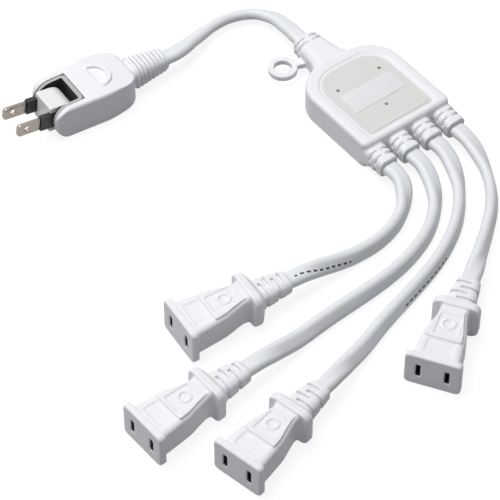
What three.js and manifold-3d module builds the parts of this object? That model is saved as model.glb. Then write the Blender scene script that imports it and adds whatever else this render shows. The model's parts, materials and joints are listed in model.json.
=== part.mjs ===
// A four-outlet branching extension cord: a swing-head plug on a short flat cord, a flat moulded
// junction box with a hanging ring, and four short flat cords that each end in a moulded outlet.
// Millimetres, +Z up. The origin is the centre of the box's underside, +Y runs from the box towards the
// main cord, and the four outlet cords leave the box towards -Y. Everything lies on the plane z = 0.
import * as THREE from "three";
import { mergeVertices } from "three/addons/utils/BufferGeometryUtils.js";
import Module from "manifold-3d";

// Clearances
const touchGap = 0.3; // between pieces that touch or are moulded round each other
const runGap = 0.3; // between the swing head and what it turns in

// Flat two-core cord
const cordWidth = 8.2;
const cordThick = 5.1;
const cordLift = 0.35; // a free cord's underside over the ground
const coreDiameter = 2.2; // one insulated core
const corePitch = 3;

// Blades of the plug, and the slots that take such blades
const pinSpacing = 12.7; // centre to centre, the standard two-pole spacing
const bladeThick = 1.5;
const bladeHeight = 6.3;
const bladeLength = 17; // from the head's front face
const bladeHole = 3; // diameter
const bladeHoleFromTip = 5;
const slotPlay = 0.9; // slot over blade, in width and in height

// Junction box
const boxWidth = 50.6;
const boxLength = 54;
const boxHeight = 15.2;
const boxEdge = 1.3; // bevel of the upper and lower edges
const boxFrontRound = 2.5;
const boxRearRound = 16.8;
const panelMarginX = 7.3; // from the box side to the inset panel
const panelMarginFront = 4.5;
const panelMarginRear = 7.5;
const panelDrop = 0.5; // panel below the rim
const panelFlange = 1.6; // the insulating block reaches this far under the rim
const rimSkin = 1.6; // thickness of the rim over that flange
const boxFloor = 2; // thickness under the insulating block
const labelWidth = 29.2;
const labelLength = 12.4;
const labelHeight = 0.4;
const labelShift = -1.8; // centre of the raised label field
const pinHole = 1.7; // moulding pin marks in the panel
const pinHoleDepth = 2;
const branchPitch = 13.2;
const branchBootLength = 10.7;
const outerPairShift = 5.4; // the outer cores bend inwards by this much in the box
const branchBootWall = 0.75; // round the cord, at the boot's mouth
const branchBootRootWidth = 11;
const branchBootRootHeight = 10.4;
const busbarThick = 0.8;
const busbarWidth = 4;
const chamberWall = 1.8; // insulating block round its inner chamber

// Neck of the main cord, and the hanging ring on it
const neckLength = 22;
const neckRootWidth = 25;
const neckWaistWidth = 16;
const neckWall = 1.9;
const neckFlare = 10; // length over which the neck flares into the box
const ringOuter = 12.6;
const ringInner = 8.4;
const ringThick = 2.4;
const ringMiddle = 5; // height of the ring's middle
const ringReach = 17.4; // ring centre from the neck's centreline
const ringAft = 15.7; // ring centre behind the box
const strapAft = 12.4; // where the strap joins the neck, behind the box
const strapWidth = 3.6;

// Outlets
const faceWidth = 24.9;
const faceHeight = 18;
const faceThick = 3.4;
const faceWall = 2; // front wall before the insulating insert
const leadWiden = 2.2; // funnel of a slot over the slot itself
const leadDepth = 0.8;
const bodyDrop = 1.9; // body below the front flange, above and below
const bodyLength = 32.5; // from the face to the rear flange
// Width of the outlet's body, at distances behind the face
const bodyPlan = [
  [33.5, 13.6],
  [30, 12.8],
  [28, 13.4],
  [23, 16],
  [19.5, 17.9],
  [12, 19],
  [4.4, 19.4],
  [2.4, 19.4],
];
const rearFlangeWidth = 21.5;
const rearFlangeThick = 6.2;
const padStart = 14.1; // the raised pad begins this far behind the face
const padRise = 0.6;
const padInset = 1.5; // from the body's side to the pad's side
const padSquareLength = 12.2;
const padSquareWidth = 9.8;
const padSquareDepth = 0.4;
const padRingRadius = 3.1;
const ratingLength = 7.8;
const ratingWidth = 12.4;
const ratingDepth = 0.35;
const outletBootLength = 15.8;
const outletBootRootWidth = 14;
const outletBootRootHeight = 10.4;
const outletBootWall = 1;

// Spring contacts in the outlets
const leafThick = 0.5;
const clipWidth = 2.8;
const clipHeight = 6;
const clipPinch = 1.2; // gap between the leaves where they grip a blade
const clipLength = 15;
const clipTail = 4.5;
const insertWall = 0.8;

// Plug
const plugWidth = 28;
const plugHeight = 17.5;
const plugRear = 39.3; // from the swing axis to the rear of the body
const plugRearRound = 13.2;
const plugFrontRound = 4.5;
const swingTilt = 8; // degrees that the blades point above level as the plug lies
const headHalfHeight = 6.8;
const headFront = 7; // front face of the swing head from its axis
const headWidth = 13.3;
const hubRadius = 5.2;
const hubThick = 2.55;
const trunnionRadius = 2.9;
const studRadius = 1.3;
const sleeveLength = 5.1; // of the black sleeve in front of the head
const sleeveOver = 1.1; // sleeve over blade, in thickness and in height
const neckUnder = 0.6; // blade neck under the blade in thickness, inside the sleeve
const windowRear = 9.7; // rear wall of the window behind the swing axis
const frameWall = 1.6; // cheeks of the frame that the head turns in
const frameRearWall = 1.5;
const frameDrop = 0.7; // frame below the moulding's upper and lower faces
const springThick = 0.5;
const springHeight = 5;
const plugBootLength = 19.5;
const plugBootRootWidth = 14.5;
const plugBootRootHeight = 13;
const plugBootWall = 1.4;
const plugBootRibs = 8;
const ribDepth = 0.9;
const gripRadius = 8;
const gripRim = 1.3; // width of the raised ridge round the grip's dimple
const gripRise = 0.4;
const gripDepth = 0.8;
const gripFront = 21.1; // straight front edge of the grip, behind the swing axis

// Slits of the strain reliefs
const slitWidth = 1.3;
const slitDepth = 1.5;
const slitOverlap = 2; // a slit passes the boot's centreline by this much

// Where the outlets and the plug lie: the centre of each outlet's face, the plug's swing axis, and the
// direction that the face or the blades point to, in degrees from +X
const outletPlaces = [
  { x: -153, y: -58.2, heading: 173.8 },
  { x: -197.9, y: -93.6, heading: 181.8 },
  { x: -177.3, y: -130.8, heading: 192.2 },
  { x: -82.8, y: -141.8, heading: 212.4 },
];
const plugPlace = { x: -117.9, y: 83.6, heading: 175.9 };

// Points that the free cords pass, chosen by hand, between their straight stretches at both ends
const branchRoutes = [
  [
    [-21.6, -49.7, 7], [-29.1, -58.7, 4.4], [-39.5, -64.5], [-51, -67.1], [-62.9, -67.1],
    [-74.7, -66.1, 4.9], [-86.6, -65.2, 8.2],
  ],
  [
    [-7.7, -49.9, 7], [-12.3, -60.4, 4.5], [-19.8, -69.2, 2.6], [-29.1, -76], [-39.6, -80.8],
    [-50.7, -84], [-62.1, -85.8], [-73.6, -86.6], [-85.1, -87.1], [-96.7, -87.7], [-108.2, -88.7, 2.6],
    [-119.7, -90.1, 5], [-131.1, -91.3, 8.2],
  ],
  [
    [5.5, -49.9, 7], [1, -60.7, 4.4], [-5.8, -70.2], [-14.2, -78.4], [-23.8, -85.1], [-34.2, -90.5],
    [-45.2, -94.7], [-56.4, -98.1], [-67.7, -101.3], [-78.9, -104.6], [-90, -108.4], [-101, -112.4, 5],
    [-112.1, -116.2, 8.2],
  ],
  [
    [19.2, -50, 7], [15.9, -61.9, 4.3], [10.3, -72.9], [2.4, -82.5], [-7, -90.5], [-16.8, -98.1, 4.8],
    [-26.6, -105.7, 8.2],
  ],
];
const mainRoute = [
  [0.5, 61.3, 7], [0.5, 72.4, 4.6], [-4.8, 81.8, 2.7], [-14.9, 86.4], [-25.9, 86.7, 2.7],
  [-36.7, 83.9, 5], [-47.1, 80.1, 8],
];

const wasm = await Module();
wasm.setup();

// Materials
const pvcWhite = new THREE.MeshStandardMaterial({ color: "#eceef2", roughness: 0.45, metalness: 0 });
const cordWhite = new THREE.MeshStandardMaterial({ color: "#e9ebef", roughness: 0.5, metalness: 0 });
const blockGrey = new THREE.MeshStandardMaterial({ color: "#dadbdd", roughness: 0.5, metalness: 0 });
const frameGrey = new THREE.MeshStandardMaterial({ color: "#a9aaac", roughness: 0.5, metalness: 0 });
const insertWhite = new THREE.MeshStandardMaterial({ color: "#d8d6cf", roughness: 0.6, metalness: 0 });
const sleeveBlack = new THREE.MeshStandardMaterial({ color: "#17181a", roughness: 0.5, metalness: 0 });
const bladeNickel = new THREE.MeshStandardMaterial({ color: "#b7ada2", roughness: 0.3, metalness: 1 });
const springBrass = new THREE.MeshStandardMaterial({ color: "#c9a55c", roughness: 0.35, metalness: 1 });
const coreBlack = new THREE.MeshStandardMaterial({ color: "#2a2b2d", roughness: 0.5, metalness: 0 });
const coreWhite = new THREE.MeshStandardMaterial({ color: "#f0f0ee", roughness: 0.5, metalness: 0 });

// A geometry as a solid that can be joined and cut
function solid(geometry) {
  const bare = new THREE.BufferGeometry();
  bare.setAttribute("position", geometry.getAttribute("position"));
  bare.setIndex(geometry.index);
  const merged = mergeVertices(bare);
  return new wasm.Manifold(
    new wasm.Mesh({
      numProp: 3,
      vertProperties: merged.attributes.position.array,
      triVerts: new Uint32Array(merged.index.array),
    }),
  );
}

function piece(name, body, material) {
  const cut = body.getMesh();
  const geometry = new THREE.BufferGeometry();
  geometry.setAttribute("position", new THREE.BufferAttribute(cut.vertProperties, 3));
  geometry.setIndex(new THREE.BufferAttribute(cut.triVerts, 1));
  geometry.computeVertexNormals();
  const mesh = new THREE.Mesh(geometry, material);
  mesh.name = name;
  return mesh;
}

function joined(solids) {
  return solids.reduce((all, next) => all.add(next));
}

function without(body, cutters) {
  return cutters.reduce((rest, cutter) => rest.subtract(cutter), body);
}

// A polygon with rounded corners, each given as [x, y, radius]
function roundedShape(corners, arcSteps = 4) {
  const points = [];
  corners.forEach(([x, y, radius], i) => {
    const corner = new THREE.Vector2(x, y);
    const before = corners[(i + corners.length - 1) % corners.length];
    const after = corners[(i + 1) % corners.length];
    const toBefore = new THREE.Vector2(before[0], before[1]).sub(corner);
    const toAfter = new THREE.Vector2(after[0], after[1]).sub(corner);
    if (!radius) {
      points.push(corner);
      return;
    }
    const half = Math.acos(toBefore.dot(toAfter) / toBefore.length() / toAfter.length()) / 2;
    const room = 0.499 * Math.min(toBefore.length(), toAfter.length());
    const reach = Math.min(radius / Math.tan(half), room);
    const start = corner.clone().addScaledVector(toBefore.normalize(), reach);
    const end = corner.clone().addScaledVector(toAfter.normalize(), reach);
    const bend = new THREE.Vector2().addVectors(start, end).multiplyScalar(0.5).sub(corner);
    const centre = corner.clone().addScaledVector(bend, 1 / Math.cos(half) ** 2);
    const from = Math.atan2(start.y - centre.y, start.x - centre.x);
    const to = Math.atan2(end.y - centre.y, end.x - centre.x);
    const turn = Math.atan2(Math.sin(to - from), Math.cos(to - from));
    const arcRadius = start.distanceTo(centre);
    for (let k = 0; k <= arcSteps; k++) {
      const angle = from + (turn * k) / arcSteps;
      points.push(
        new THREE.Vector2(centre.x + arcRadius * Math.cos(angle), centre.y + arcRadius * Math.sin(angle)),
      );
    }
  });
  return new THREE.Shape(points);
}

function roundedRectangle(width, height, radius, arcSteps) {
  const x = width / 2;
  const y = height / 2;
  const corners = [
    [-x, -y, radius],
    [x, -y, radius],
    [x, y, radius],
    [-x, y, radius],
  ];
  return roundedShape(corners, arcSteps);
}

function discShape(radius, sides) {
  const points = [];
  for (let k = 0; k < sides; k++) {
    const angle = (2 * Math.PI * k) / sides;
    points.push(new THREE.Vector2(radius * Math.cos(angle), radius * Math.sin(angle)));
  }
  return new THREE.Shape(points);
}

// Half a disc with its straight edge across X at front, and its arc towards -X
function halfDisc(radius, front) {
  const points = [];
  for (let k = 0; k <= 10; k++) {
    const angle = (Math.PI * (k + 5)) / 10;
    points.push(new THREE.Vector2(front + radius * Math.cos(angle), radius * Math.sin(angle)));
  }
  return new THREE.Shape(points);
}

// A bent strip of even thickness, seen on its edge, with its ends pushed out by extra
function ribbonShape(route, thick, extra = 0) {
  const line = route.map(([x, y]) => new THREE.Vector2(x, y));
  const last = line.length - 1;
  line[0].addScaledVector(line[0].clone().sub(line[1]).normalize(), extra);
  line[last].addScaledVector(line[last].clone().sub(line[last - 1]).normalize(), extra);
  const left = [];
  const right = [];
  line.forEach((point, i) => {
    const into = line[Math.min(i, last - 1) + 1].clone().sub(line[Math.min(i, last - 1)]).normalize();
    const outOf = line[Math.max(i, 1)].clone().sub(line[Math.max(i, 1) - 1]).normalize();
    const along = new THREE.Vector2().addVectors(into, outOf).normalize();
    const reach = thick / 2 / Math.max(0.5, along.dot(into));
    left.push(new THREE.Vector2(point.x - along.y * reach, point.y + along.x * reach));
    right.push(new THREE.Vector2(point.x + along.y * reach, point.y - along.x * reach));
  });
  return new THREE.Shape([...right, ...left.reverse()]);
}

// A plan outline stood up between two heights, with its upper and lower edges bevelled
function slab(shape, bottom, top, edge = 0) {
  const bevel = edge
    ? { bevelThickness: edge, bevelSize: edge, bevelOffset: -edge, bevelSegments: 1 }
    : { bevelEnabled: false };
  const geometry = new THREE.ExtrudeGeometry(shape, { depth: top - bottom - 2 * edge, ...bevel });
  return solid(geometry.translate(0, 0, bottom + edge));
}

// An outline in the X-Z plane carried along Y
function crossSlab(shape, from, to) {
  const geometry = new THREE.ExtrudeGeometry(shape, { depth: to - from, bevelEnabled: false });
  return solid(geometry.rotateX(Math.PI / 2).translate(0, to, 0));
}

function block(x0, x1, y0, y1, z0, z1) {
  const geometry = new THREE.BoxGeometry(x1 - x0, y1 - y0, z1 - z0);
  return solid(geometry.translate((x0 + x1) / 2, (y0 + y1) / 2, (z0 + z1) / 2));
}

// A body along X whose section keeps its form and changes its size. A station is [x, width, height].
function loft(section, stations, middle) {
  const count = stations.length - 1;
  const geometry = new THREE.ExtrudeGeometry(section, { depth: count, steps: count, bevelEnabled: false });
  const place = geometry.getAttribute("position");
  for (let i = 0; i < place.count; i++) {
    const [x, width, height] = stations[Math.round(place.getZ(i))];
    place.setXYZ(i, x, place.getX(i) * width, middle + place.getY(i) * height);
  }
  return solid(geometry);
}

const softSection = roundedRectangle(1, 1, 0.3, 2);
const boxySection = roundedRectangle(1, 1, 0.14, 2);
const innerSection = roundedRectangle(1, 1, 0.3, 1);

// The same body along X, turned to lie along Y with its +X end towards -Y
function turned(body, x = 0, y = 0) {
  return body.rotate([0, 0, -90]).translate([x, y, 0]);
}

// A tube of even section along a smooth curve
function tube(points, section, steps) {
  const path = new THREE.CatmullRomCurve3(points, false, "centripetal");
  return solid(new THREE.ExtrudeGeometry(section, { extrudePath: path, steps, bevelEnabled: false }));
}

// An insulated core, or the channel that holds one, which runs past both ends
function corePiece(points, channel = false) {
  const ends = points.map((point) => point.clone());
  if (channel) {
    const last = ends.length - 1;
    ends[0].addScaledVector(ends[0].clone().sub(ends[1]).normalize(), 2 * touchGap);
    ends[last].addScaledVector(ends[last].clone().sub(ends[last - 1]).normalize(), 2 * touchGap);
  }
  const radius = coreDiameter / 2 + (channel ? touchGap : 0);
  return tube(ends, discShape(radius, 6), 6);
}

// Grooves round one side of a boot that lies along X: what they leave is the boot's inner body
function bootSlits(places, side, inner, reach) {
  const grooves = places.map((x) => {
    const low = side > 0 ? -slitOverlap : -reach;
    const high = side > 0 ? reach : slitOverlap;
    return block(x - slitWidth / 2, x + slitWidth / 2, low, high, -reach, 3 * reach);
  });
  return grooves.map((groove) => groove.subtract(inner));
}

// A tapered boot along X from its root at rootX to its mouth at mouthX, with staggered slits
function slitBoot(rootX, mouthX, rootWidth, rootHeight, wall, middle) {
  const mouthWidth = cordWidth + 2 * wall;
  const mouthHeight = cordThick + 2 * wall;
  const at = (t, less) => [
    rootX + t * (mouthX - rootX),
    rootWidth + t * (mouthWidth - rootWidth) - less,
    rootHeight + t * (mouthHeight - rootHeight) - less,
  ];
  const order = (stations) => (mouthX < rootX ? stations.reverse() : stations);
  const outside = loft(softSection, order([at(0, 0), at(0.5, 0), at(0.93, 0), at(1, 1)]), middle);
  const depth = Math.min(slitDepth, 0.7 * wall);
  const inside = loft(innerSection, order([at(-0.2, 2 * depth), at(1.2, 2 * depth)]), middle);
  const step = (mouthX - rootX) / 5.6;
  const left = [1, 3].map((k) => rootX + step * (k + 0.25));
  const right = [2, 4].map((k) => rootX + step * (k + 0.25));
  const slits = [...bootSlits(left, 1, inside, rootWidth), ...bootSlits(right, -1, inside, rootWidth)];
  return without(outside, slits);
}

// Junction box
const boxMiddle = boxHeight / 2;
const boxFrontY = -boxLength / 2;
const boxRearY = boxLength / 2;
const branchMouthY = boxFrontY - branchBootLength;
const neckMouthY = boxRearY + neckLength;
const branchXs = [-1.5, -0.5, 0.5, 1.5].map((k) => k * branchPitch);

function panelShape(grow) {
  const x = boxWidth / 2 - panelMarginX + grow;
  const front = boxFrontY + panelMarginFront - grow;
  const rear = boxRearY - panelMarginRear + grow;
  const rearRound = boxRearRound - panelMarginX + grow + 2;
  return roundedShape([
    [-x, front, 1.5],
    [x, front, 1.5],
    [x, rear, rearRound],
    [-x, rear, rearRound],
  ], 5);
}

const panelTop = boxHeight - panelDrop;
const flangeTop = boxHeight - rimSkin;
const chamberX = boxWidth / 2 - panelMarginX + panelFlange - chamberWall;
const chamberFront = boxFrontY + panelMarginFront - panelFlange + chamberWall;
const chamberRear = boxRearY - panelMarginRear + panelFlange - 3 * chamberWall;
const busbarTop = boxMiddle - coreDiameter / 2 - touchGap;
const liveBarY = chamberFront + touchGap + busbarWidth;
const neutralBarY = liveBarY + 2.5 * busbarWidth;

// The cores in the box: each pair of a branch cord goes to the live and the neutral bar, and so does the
// pair of the main cord. The outer pairs bend inwards to pass through the block's front wall.
function boxCores() {
  const cores = [];
  branchXs.forEach((x, i) => {
    [-1, 1].forEach((side) => {
      const outer = x + (side * corePitch) / 2;
      const shift = Math.abs(x) > branchPitch ? Math.sign(x) * outerPairShift : 0;
      const live = side < 0;
      const endY = (live ? liveBarY : neutralBarY) + busbarWidth / 4;
      const points = [
        new THREE.Vector3(outer, branchMouthY + touchGap, boxMiddle),
        new THREE.Vector3(outer, boxFrontY - 1, boxMiddle),
        new THREE.Vector3(outer - shift, chamberFront + 4, boxMiddle),
        new THREE.Vector3(outer - shift, endY, boxMiddle),
      ];
      cores.push({ name: `box_core_${live ? "live" : "neutral"}_${i + 1}`, live, points });
    });
  });
  [-1, 1].forEach((side) => {
    const live = side < 0;
    const x = (side * corePitch) / 2;
    const endY = (live ? liveBarY : neutralBarY) - busbarWidth / 4;
    const points = [
      new THREE.Vector3(x, neckMouthY - touchGap, boxMiddle),
      new THREE.Vector3(x, boxRearY, boxMiddle),
      new THREE.Vector3(x, chamberRear, boxMiddle),
      new THREE.Vector3(x, endY, boxMiddle),
    ];
    cores.push({ name: `box_core_${live ? "live" : "neutral"}_main`, live, points });
  });
  return cores;
}

function boxGroup() {
  const group = new THREE.Group();
  const cores = boxCores();
  const channels = cores.map((core) => corePiece(core.points, true));

  const outline = roundedShape([
    [-boxWidth / 2, boxFrontY, boxFrontRound],
    [boxWidth / 2, boxFrontY, boxFrontRound],
    [boxWidth / 2, boxRearY, boxRearRound],
    [-boxWidth / 2, boxRearY, boxRearRound],
  ], 6);
  const shell = slab(outline, 0, boxHeight, boxEdge);
  const boots = branchXs.map((x) => {
    const boot = slitBoot(-1, branchBootLength, branchBootRootWidth, branchBootRootHeight, branchBootWall,
      boxMiddle);
    return turned(boot, x, boxFrontY);
  });
  const neckFlareStations = [0, 0.35, 0.7, 1].map((t) => [
    -t * neckFlare,
    neckWaistWidth + (neckRootWidth - neckWaistWidth) * (1 - t) ** 2,
    boxHeight - 2 * boxEdge - 1.2 * t,
  ]);
  const flare = loft(softSection, neckFlareStations.concat([[2 * boxEdge, neckRootWidth, boxHeight - 3 * boxEdge]])
    .sort((a, b) => a[0] - b[0]), boxMiddle);
  const relief = slitBoot(-neckFlare + 1, -neckLength, neckWaistWidth, boxHeight - 2 * boxEdge - 1.2, neckWall,
    boxMiddle);
  const neck = turned(flare.add(relief), 0, boxRearY);
  const ringShape = discShape(ringOuter / 2, 20);
  ringShape.holes.push(new THREE.Path(discShape(ringInner / 2, 20).getPoints()));
  const ring = slab(ringShape, ringMiddle - ringThick / 2, ringMiddle + ringThick / 2, 0.5)
    .translate([-ringReach, boxRearY + ringAft, 0]);
  const strapRoute = [
    [-ringReach + (ringInner + ringOuter) / 4, boxRearY + ringAft - 1],
    [-neckWaistWidth / 4, boxRearY + strapAft],
  ];
  const strap = slab(ribbonShape(strapRoute, strapWidth), ringMiddle - ringThick / 2, ringMiddle + ringThick / 2);
  const cavity = slab(panelShape(panelFlange + touchGap), boxFloor, flangeTop + touchGap);
  const window = slab(panelShape(touchGap), flangeTop, boxHeight + 1);
  const overmould = without(joined([shell, ...boots, neck, ring, strap]), [cavity, window, ...channels]);
  group.add(piece("box_overmould", overmould, pvcWhite));

  const chamber = block(-chamberX, chamberX, chamberFront, chamberRear, busbarTop - busbarThick,
    boxMiddle + coreDiameter / 2 + 1);
  const pinHoles = [[-12.2, 8.5], [12.2, 8.5], [0, -11.5]].map(([x, y]) =>
    slab(discShape(pinHole / 2, 8), panelTop - pinHoleDepth, panelTop + 1).translate([x, y, 0]));
  const labelField = slab(roundedRectangle(labelWidth, labelLength, 1, 3), panelTop - 1, panelTop + labelHeight)
    .translate([0, labelShift, 0]);
  const ribX = boxWidth / 2 - panelMarginX - 1;
  const frontRib = block(-ribX, ribX, boxFrontY + panelMarginFront + 0.6, boxFrontY + panelMarginFront + 1.6,
    panelTop - 1, panelTop + labelHeight);
  const upper = joined([
    slab(panelShape(panelFlange), boxMiddle + touchGap / 2, flangeTop),
    slab(panelShape(0), boxMiddle + touchGap / 2, panelTop),
    labelField,
    frontRib,
  ]);
  group.add(piece("box_block_upper", without(upper, [chamber, ...channels, ...pinHoles]), blockGrey));
  const lower = slab(panelShape(panelFlange), boxFloor + touchGap, boxMiddle - touchGap / 2);
  group.add(piece("box_block_lower", without(lower, [chamber, ...channels]), blockGrey));

  const barX = chamberX - touchGap;
  [["live", liveBarY], ["neutral", neutralBarY]].forEach(([pole, y]) => {
    const bar = block(-barX, barX, y - busbarWidth / 2, y + busbarWidth / 2, busbarTop - busbarThick, busbarTop);
    group.add(piece(`box_busbar_${pole}`, bar, springBrass));
  });
  cores.forEach(({ name, live, points }) => {
    group.add(piece(name, corePiece(points), live ? coreBlack : coreWhite));
  });
  return group;
}

// Outlets. Each is made along X with its face at x = 0, pointing to +X.
const outletMiddle = faceHeight / 2;
const insertFront = -faceWall - touchGap;
const clipMouthX = insertFront - 0.8;
const clipBaseX = clipMouthX - clipLength;
const clipTailX = clipBaseX - clipTail;
const insertRear = clipBaseX - insertWall;
const insertWidth = pinSpacing + clipWidth + 2 * touchGap;
const insertHeight = clipHeight + 2 * touchGap + 2 * insertWall + 1;
const outletRootX = -bodyLength - rearFlangeThick;
const outletMouthX = outletRootX - outletBootLength;

// A gripping contact seen from above: two leaves from a folded base, one of them running on as the tail
function clipShape(side) {
  const half = clipWidth / 2;
  const grip = clipPinch / 2;
  const pinchX = clipMouthX - clipLength / 5;
  const points = [
    [clipTailX, -half],
    [clipBaseX + 3 * leafThick, -half],
    [pinchX, -grip - leafThick],
    [clipMouthX, -grip - 2 * leafThick],
    [clipMouthX, -grip - leafThick],
    [pinchX, -grip],
    [clipBaseX + 2 * leafThick, -half + leafThick],
    [clipBaseX + leafThick, -half + leafThick],
    [clipBaseX + leafThick, half - leafThick],
    [clipBaseX + 2 * leafThick, half - leafThick],
    [pinchX, grip],
    [clipMouthX, grip + leafThick],
    [clipMouthX, grip + 2 * leafThick],
    [pinchX, grip + leafThick],
    [clipBaseX + 3 * leafThick, half],
    [clipBaseX, half],
    [clipBaseX, -half + leafThick],
    [clipTailX, -half + leafThick],
  ];
  const placed = points.map(([x, y]) => new THREE.Vector2(x, side * (pinSpacing / 2 + y)));
  return new THREE.Shape(side > 0 ? placed : placed.reverse());
}

function outletCorePoints(side) {
  const tailY = side * (pinSpacing / 2 - clipWidth / 2 + leafThick / 2);
  const bootY = (side * corePitch) / 2;
  const tailEnd = clipTailX - touchGap;
  return [
    new THREE.Vector3(tailEnd, tailY, outletMiddle),
    new THREE.Vector3(tailEnd - 2, tailY, outletMiddle),
    new THREE.Vector3(outletRootX + 2, bootY, outletMiddle),
    new THREE.Vector3(outletMouthX + touchGap, bootY, outletMiddle),
  ];
}

function outletGroup(number) {
  const group = new THREE.Group();
  const bodyHeight = faceHeight - 2 * bodyDrop;
  const body = loft(boxySection, bodyPlan.map(([back, width]) => [-back, width, bodyHeight]), outletMiddle);
  const flange = loft(roundedRectangle(1, 1, 0.11, 2), [
    [-faceThick, faceWidth - 0.4, faceHeight - 0.4],
    [-faceThick + 0.5, faceWidth, faceHeight],
    [-0.5, faceWidth, faceHeight],
    [0, faceWidth - 0.5, faceHeight - 0.5],
  ], outletMiddle);
  const rearFlange = loft(roundedRectangle(1, 1, 0.22, 2), [
    [outletRootX, rearFlangeWidth - 3.4, faceHeight - 3.4],
    [outletRootX + 1.2, rearFlangeWidth - 0.9, faceHeight - 0.9],
    [outletRootX + 2.6, rearFlangeWidth, faceHeight],
    [-bodyLength - 1.2, rearFlangeWidth, faceHeight],
    [-bodyLength, rearFlangeWidth - 1.4, faceHeight - 1.4],
  ], outletMiddle);
  const boot = slitBoot(outletRootX + 1, outletMouthX, outletBootRootWidth, outletBootRootHeight, outletBootWall,
    outletMiddle);

  // The pad on the upper face ends in a step towards the face and narrows with the body behind it
  const bodyTop = faceHeight - bodyDrop;
  const padTop = bodyTop + padRise;
  const padSide = bodyPlan
    .filter(([back]) => back > padStart)
    .map(([back, width]) => [-back, width / 2 - padInset, 0]);
  padSide.push([-padStart, padSide[padSide.length - 1][1] + 0.2, 0.8]);
  const padOther = padSide.map(([x, y, radius]) => [x, -y, radius]).reverse();
  const pad = slab(roundedShape([...padOther, ...padSide], 2), bodyTop - 1, padTop);
  const padCentreX = -padStart - 1.6 - padSquareLength / 2;
  const square = slab(roundedRectangle(padSquareLength, padSquareWidth, 1, 2), padTop - padSquareDepth, padTop + 1)
    .translate([padCentreX, 0, 0]);
  const ringShape = discShape(padRingRadius, 14);
  ringShape.holes.push(new THREE.Path(discShape(padRingRadius - 0.7, 14).getPoints()));
  const padRing = slab(ringShape, padTop - padSquareDepth - 0.5, padTop).translate([padCentreX - 0.9, 0, 0]);
  const rating = slab(roundedRectangle(ratingLength, ratingWidth, 0.8, 2), bodyTop - ratingDepth, bodyTop + 0.2)
    .translate([-(faceThick + padStart) / 2 - 0.9, 0, 0]);

  const slotWidth = bladeThick + slotPlay;
  const slotHeight = bladeHeight + slotPlay;
  const slots = [-1, 1].map((side) => {
    const y = (side * pinSpacing) / 2;
    const hole = block(insertFront - 1, 1, y - slotWidth / 2, y + slotWidth / 2, outletMiddle - slotHeight / 2,
      outletMiddle + slotHeight / 2);
    const lead = loft(roundedRectangle(1, 1, 0.12, 1), [
      [-leadDepth, slotWidth, slotHeight],
      [0, slotWidth + leadWiden, slotHeight + leadWiden],
      [1, slotWidth + leadWiden, slotHeight + leadWiden],
    ], outletMiddle);
    return hole.add(lead.translate([0, y, 0]));
  });
  const pocket = block(insertRear - touchGap, insertFront + touchGap, -insertWidth / 2 - touchGap,
    insertWidth / 2 + touchGap, outletMiddle - insertHeight / 2 - touchGap,
    outletMiddle + insertHeight / 2 + touchGap);
  const channels = [-1, 1].map((side) => corePiece(outletCorePoints(side), true));
  const tailY = pinSpacing / 2 - clipWidth / 2 + leafThick / 2;
  const tailSlots = [-1, 1].map((side) => block(clipTailX - touchGap, insertRear + 3,
    side * tailY - leafThick / 2 - touchGap, side * tailY + leafThick / 2 + touchGap,
    outletMiddle - clipHeight / 2 - touchGap, outletMiddle + clipHeight / 2 + touchGap));
  const carved = without(joined([body, pad]), [square, rating]);
  const overmould = without(joined([carved, padRing, flange, rearFlange, boot]),
    [...slots, pocket, ...channels, ...tailSlots]);
  group.add(piece(`outlet_${number}_overmould`, overmould, pvcWhite));

  const clipRoom = clipWidth / 2 + touchGap;
  const rooms = [-1, 1].map((side) => {
    const inner = pinSpacing / 2 - clipRoom;
    const [y0, y1] = side > 0 ? [inner, faceWidth] : [-faceWidth, -inner];
    const z0 = outletMiddle - clipHeight / 2 - touchGap;
    return block(clipBaseX - touchGap, insertFront + 1, y0, y1, z0, z0 + clipHeight + 2 * touchGap);
  });
  const insert = block(insertRear, insertFront, -insertWidth / 2, insertWidth / 2,
    outletMiddle - insertHeight / 2, outletMiddle + insertHeight / 2);
  group.add(piece(`outlet_${number}_insert`, without(insert, [...rooms, ...tailSlots]), insertWhite));
  [-1, 1].forEach((side) => {
    const pole = side < 0 ? "live" : "neutral";
    const clip = slab(clipShape(side), outletMiddle - clipHeight / 2, outletMiddle + clipHeight / 2);
    group.add(piece(`outlet_${number}_contact_${pole}`, clip, springBrass));
    const core = corePiece(outletCorePoints(side));
    group.add(piece(`outlet_${number}_core_${pole}`, core, side < 0 ? coreBlack : coreWhite));
  });
  return group;
}

// Plug. It is made along X with its swing axis at x = 0 and its blades pointing to +X.
const plugMiddle = plugHeight / 2;
const plugMouthX = -plugRear - plugBootLength;
const frameInner = headWidth / 2 + runGap + hubThick + runGap;
const frameOuter = frameInner + frameWall;
const frameRearOuter = windowRear + frameRearWall;
const springY = frameOuter + touchGap + springThick / 2;
const springEndX = -frameRearOuter - 12;
const springEndY = springY - 7.4;
const springRoute = (side) => [
  [studRadius + 1.2, side * springY],
  [-frameRearOuter - 2.5, side * springY],
  [springEndX + 2.5, side * springEndY],
  [springEndX, side * springEndY],
];

function plugCorePoints(side) {
  const bootY = (side * corePitch) / 2;
  return [
    new THREE.Vector3(springEndX - touchGap, side * springEndY, plugMiddle),
    new THREE.Vector3(springEndX - 2, side * springEndY, plugMiddle),
    new THREE.Vector3(-plugRear + 2, bootY, plugMiddle),
    new THREE.Vector3(plugMouthX + touchGap, bootY, plugMiddle),
  ];
}

// Outline of the plug's side view, round at the front about the swing axis
function profileShape(radius, front, rear, rearRound) {
  const corners = [
    [front, plugMiddle - radius, radius],
    [front, plugMiddle + radius, radius],
    [rear, plugMiddle + radius, rearRound],
    [rear, plugMiddle - radius, rearRound],
  ];
  return roundedShape(corners, 7);
}

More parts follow.
